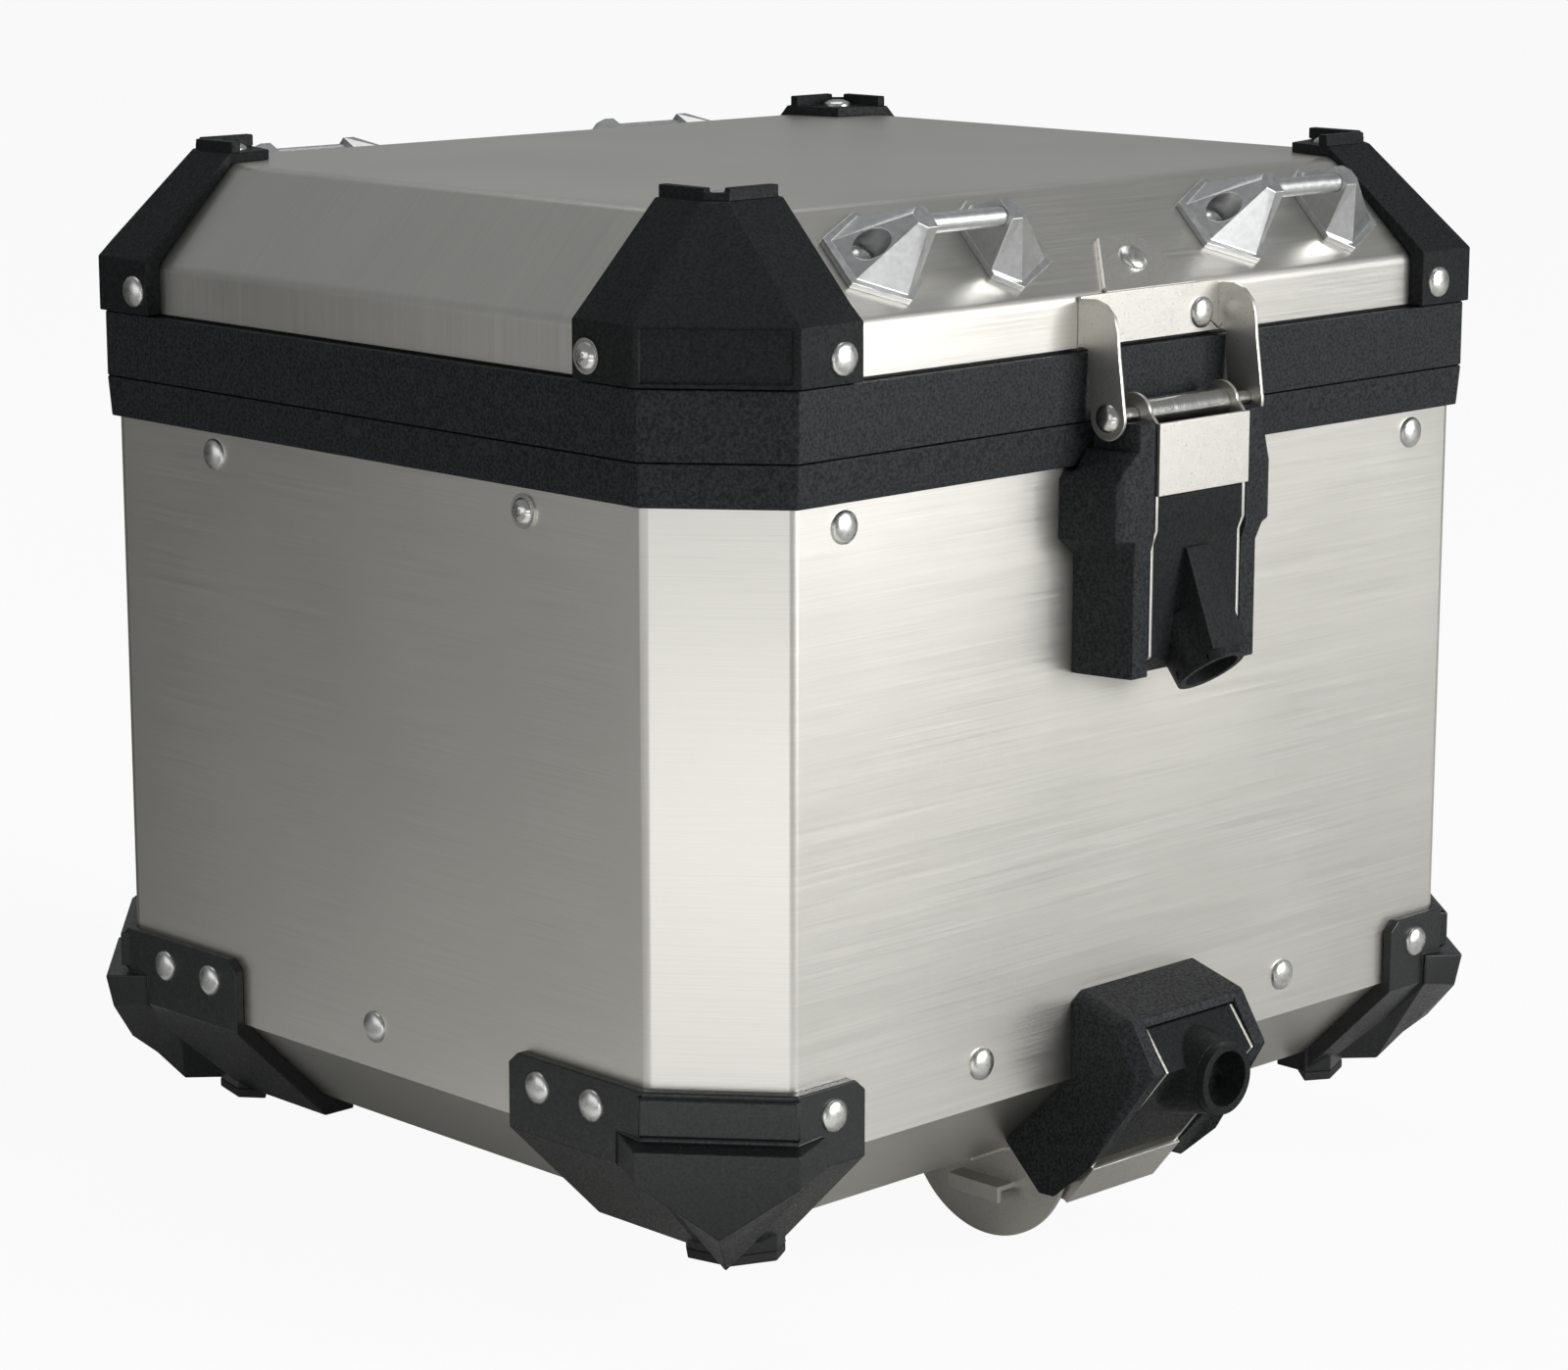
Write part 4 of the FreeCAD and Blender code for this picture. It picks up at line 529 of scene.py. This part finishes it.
RIM_RIVET_Z = SPLIT - 24
WALL_RIVET_Z = 53.2
FOOT_RIVET_Z = 52.2
GUARD_RIVET_Z = SPLIT + 34.2
RIVET_ROWS = [
    # node, body, spots, head, grip
    ("body_rim_rivets", "case", on_ends((-RIM_RIVET_X, RIM_RIVET_X), RIM_RIVET_Z, 0)
     + on_sides((RIM_RIVET_Y,), RIM_RIVET_Z, 0), LARGE_HEAD, 4.0),
    ("wall_rivets", "case", on_ends((-WALL_RIVET_X, WALL_RIVET_X), WALL_RIVET_Z, 0)
     + on_sides((0.0,), WALL_RIVET_Z, 0), LARGE_HEAD, 3.0),
    ("foot_rivets", "case", on_ends((-FOOT_RIVET_X, FOOT_RIVET_X), FOOT_RIVET_Z, FOOT_WALL)
     + on_sides(sorted(both_ways(*FOOT_RIVET_YS)), FOOT_RIVET_Z, FOOT_WALL), LARGE_HEAD, 7.0),
    ("base_bracket_rivets", "case", [((x, y, -BRACKET_SHEET), (0, 0, -1))
                                     for x in (-BRACKET_RIVET_X, BRACKET_RIVET_X)
                                     for y in BRACKET_RIVET_YS], SMALL_HEAD, 5.5),
    ("hinge_body_rivets", "case", on_leaves(SPLIT - 27), SMALL_HEAD, 6.0),
    ("hinge_lid_rivets", "lid", on_leaves(SPLIT + 36), SMALL_HEAD, 6.0),
    ("guard_rivets", "lid", on_ends((-GUARD_RIVET_X, GUARD_RIVET_X), GUARD_RIVET_Z, GUARD_OUT)
     + on_sides((GUARD_RIVET_Y,), GUARD_RIVET_Z, GUARD_OUT)
     + [((x, y, SPLIT + 84), (0, 0, 1)) for x in (-GUARD_TOP_RIVET_X, GUARD_TOP_RIVET_X)
        for y in (-GUARD_TOP_RIVET_Y, GUARD_TOP_RIVET_Y)], LARGE_HEAD, 7.0),
    ("lash_rivets", "lid", [on_slope(middle + side * LASH_RIVET_OUT, 0, 2.5, rear)
                            for middle in (-LASH_X, LASH_X) for side in (-1, 1)
                            for rear in (False, True)], LASH_HEAD, 4.1),
    ("strike_rivets", "lid", [((x, -END - 1.5, SPLIT + 33.5), (0, -1, 0))
                              for x in (-STRIKE_RIVET_X, STRIKE_RIVET_X)]
     + [on_slope(0, -12, 1.5)], STRIKE_HEAD, 3.4),
]
for row in RIVET_ROWS:
    rivets(*row)


# ---------------------------------------------------------------- floor, light and camera
CAMERA_AT = (-1.15334, -1.18769, 0.50135)
CAMERA_TURN = (90 - 11.95, 0, -44.14)
VIEW_AXIS = (math.sin(math.radians(-CAMERA_TURN[2])), math.cos(math.radians(CAMERA_TURN[2])), 0.0)
UNLIT_AXIS = (-0.40, 0.9165, 0.0)      # behind the case, on its left
NEAR_AXIS = (-0.79, -0.613, 0.0)       # where the near corner looks
FLOOR_LEVEL = -37.0                    # just under the bracket, in millimetres


def flat_sheet(name, half, z):
    """A level square sheet of the set, its half side and its height in metres."""
    mesh = bpy.data.meshes.new(name)
    mesh.from_pydata([(-half, -half, z), (half, -half, z), (half, half, z), (-half, half, z)], [],
                     [(0, 1, 2, 3)])
    sheet = bpy.data.objects.new(name, mesh)
    scene.collection.objects.link(sheet)
    return sheet


def moved(tree, spot, other, operation):
    """A spot worked with another vector."""
    return (add(tree, "ShaderNodeVectorMath", {0: spot, 1: other}, operation=operation), 0)


def towards(tree, spot, axis, wide, narrow):
    """0 where a spot lies wide degrees off an axis or more, 1 from narrow degrees off it inwards."""
    unit = (add(tree, "ShaderNodeVectorMath", {0: spot}, operation="NORMALIZE"), 0)
    ahead = add(tree, "ShaderNodeVectorMath", {0: unit, 1: axis}, operation="DOT_PRODUCT")
    return number_between(tree, (ahead, "Value"), math.cos(math.radians(wide)),
                          math.cos(math.radians(narrow)), 0.0, 1.0)


def on_backdrop(tree, spot, origin):
    """1 where a spot, or a direction when origin is zero, lies on the white backdrop behind the case."""
    from_origin = moved(tree, spot, (-origin[0], -origin[1], 0.0), "ADD")
    return towards(tree, moved(tree, from_origin, (1.0, 1.0, 0.0), "MULTIPLY"), VIEW_AXIS, 12.5, 10.5)


def dark_side(tree, spot):
    """1 towards the unlit part of the studio, behind the case on its left, 0 elsewhere."""
    return towards(tree, moved(tree, spot, (1.0, 1.0, 0.0), "MULTIPLY"), UNLIT_AXIS, 29, 10)


def near_white(tree, spot, away):
    """How white the floor is where the near corner looks: it fades out from 0.95 m to 1.5 m away."""
    wedge = towards(tree, spot, NEAR_AXIS, 17, 9)
    reach = number_between(tree, away, 0.95, 1.5, 0.9, 0.0)
    return (add(tree, "ShaderNodeMath", {0: wedge, 1: reach}, operation="MULTIPLY"), 0)


def white_for(tree, backdrop, share):
    """share for what is seen straight or through glass, and where a glossy ray meets the backdrop."""
    path = add(tree, "ShaderNodeLightPath")
    direct = add(tree, "ShaderNodeMath", {0: (path, "Is Camera Ray"), 1: (path, "Is Transmission Ray")},
                 operation="MAXIMUM")
    mirrored = add(tree, "ShaderNodeMath", {0: (path, "Is Glossy Ray"), 1: backdrop}, operation="MULTIPLY")
    either = add(tree, "ShaderNodeMath", {0: (direct, 0), 1: (mirrored, 0)}, operation="MAXIMUM")
    return (add(tree, "ShaderNodeMath", {0: (either, 0), 1: share}, operation="MULTIPLY"), 0)


def matt_white_floor():
    """Floor paint: white to the camera and as backdrop, matt grey for all other light, painted a darker
    grey as shade towards the unlit side.
    """
    paint = bpy.data.materials.new("matt_white_floor")
    paint.use_nodes = True
    tree = paint.node_tree
    tree.nodes.clear()
    spot = (add(tree, "ShaderNodeTexCoord"), "Object")
    away = (add(tree, "ShaderNodeVectorMath", {0: spot}, operation="LENGTH"), "Value")
    clear_of_case = number_between(tree, away, 0.29, 0.36, 0.0, 1.0)
    backdrop = add(tree, "ShaderNodeMath", {0: on_backdrop(tree, spot, CAMERA_AT),
                                            1: near_white(tree, spot, away)}, operation="MAXIMUM")
    backdrop = add(tree, "ShaderNodeMath", {0: (backdrop, 0), 1: clear_of_case}, operation="MULTIPLY")
    # Painted shade: the matt grey turns darker towards the unlit side, behind the case on its left.
    tone = add(tree, "ShaderNodeMix", {0: dark_side(tree, spot), 6: linear("#C9C9C7"),
                                       7: linear("#6E6E6D")}, data_type="RGBA")
    matt = add(tree, "ShaderNodeBsdfDiffuse", {"Color": (tone, 2)})
    glow = add(tree, "ShaderNodeEmission", {"Color": (1, 1, 1, 1), "Strength": 1.0})
    shown = add(tree, "ShaderNodeMixShader", {0: white_for(tree, (backdrop, 0), 0.94),
                                              1: (matt, 0), 2: (glow, 0)})
    add(tree, "ShaderNodeOutputMaterial", {"Surface": (shown, 0)})
    return paint


def studio():
    """The room: white to the camera and as backdrop, an even grey light otherwise, darker on one side."""
    world = bpy.data.worlds.new("studio")
    scene.world = world
    world.use_nodes = True
    tree = world.node_tree
    tree.nodes.clear()
    aim = (add(tree, "ShaderNodeTexCoord"), "Generated")
    height = (add(tree, "ShaderNodeSeparateXYZ", {0: aim}), "Z")
    low = add(tree, "ShaderNodeMath", {0: height, 1: 0.03}, operation="LESS_THAN")
    backdrop = add(tree, "ShaderNodeMath", {0: on_backdrop(tree, aim, (0, 0)), 1: (low, 0)},
                   operation="MULTIPLY")
    below = number_between(tree, height, 0.45, 0.15, 0.0, 1.0)
    unlit = add(tree, "ShaderNodeMath", {0: dark_side(tree, aim), 1: below}, operation="MULTIPLY")
    strength = number_between(tree, (unlit, 0), 0.0, 1.0, 0.27, 0.09)
    room = add(tree, "ShaderNodeBackground", {"Color": linear("#F4F6F8"), "Strength": strength})
    white = add(tree, "ShaderNodeBackground", {"Color": (1, 1, 1, 1), "Strength": 1.0})
    shown = add(tree, "ShaderNodeMixShader", {0: white_for(tree, (backdrop, 0), 1.0),
                                              1: (room, 0), 2: (white, 0)})
    add(tree, "ShaderNodeOutputWorld", {"Surface": (shown, 0)})


floor = flat_sheet("floor", 12.0, FLOOR_LEVEL * MM)
floor.data.materials.append(matt_white_floor())
studio()


def soft_box(name, place, target, size, power):
    """A rectangular soft light at place, aimed at target, that no camera shows."""
    light = bpy.data.lights.new(name, "AREA")
    light.shape = "RECTANGLE"
    light.size, light.size_y = size
    light.energy = power
    box = bpy.data.objects.new(name, light)
    box.location = place
    box.rotation_euler = (Vector(target) - Vector(place)).to_track_quat("-Z", "Y").to_euler()
    box.visible_camera = False
    scene.collection.objects.link(box)


soft_box("front_right_box", (1.02, -2.58, 0.9), (0, 0, 0.15), (1.6, 1.5), 70)
soft_box("camera_side_box", (-1.9, -1.6, 0.28), (0, 0, 0.1), (1.2, 0.5), 3.0)
soft_box("low_strip", (-0.74, -0.56, 0.012), (-0.2, -0.17, 0.03), (0.42, 0.06), 0.2)
soft_box("left_wall", (-2.4, 0.35, 0.5), (0, 0.35, 0.3), (2.4, 1.2), 9)
soft_box("top_box", (0.2, 0.3, 2.2), (0, 0, 0.2), (1.6, 1.6), 12)

camera_data = bpy.data.cameras.new("camera")
camera_data.lens = 97.66
camera_data.sensor_width = 36.0
camera = bpy.data.objects.new("camera", camera_data)
camera.location = CAMERA_AT
camera.rotation_euler = [math.radians(turn) for turn in CAMERA_TURN]
scene.collection.objects.link(camera)
scene.camera = camera
scene.view_settings.view_transform = "Standard"
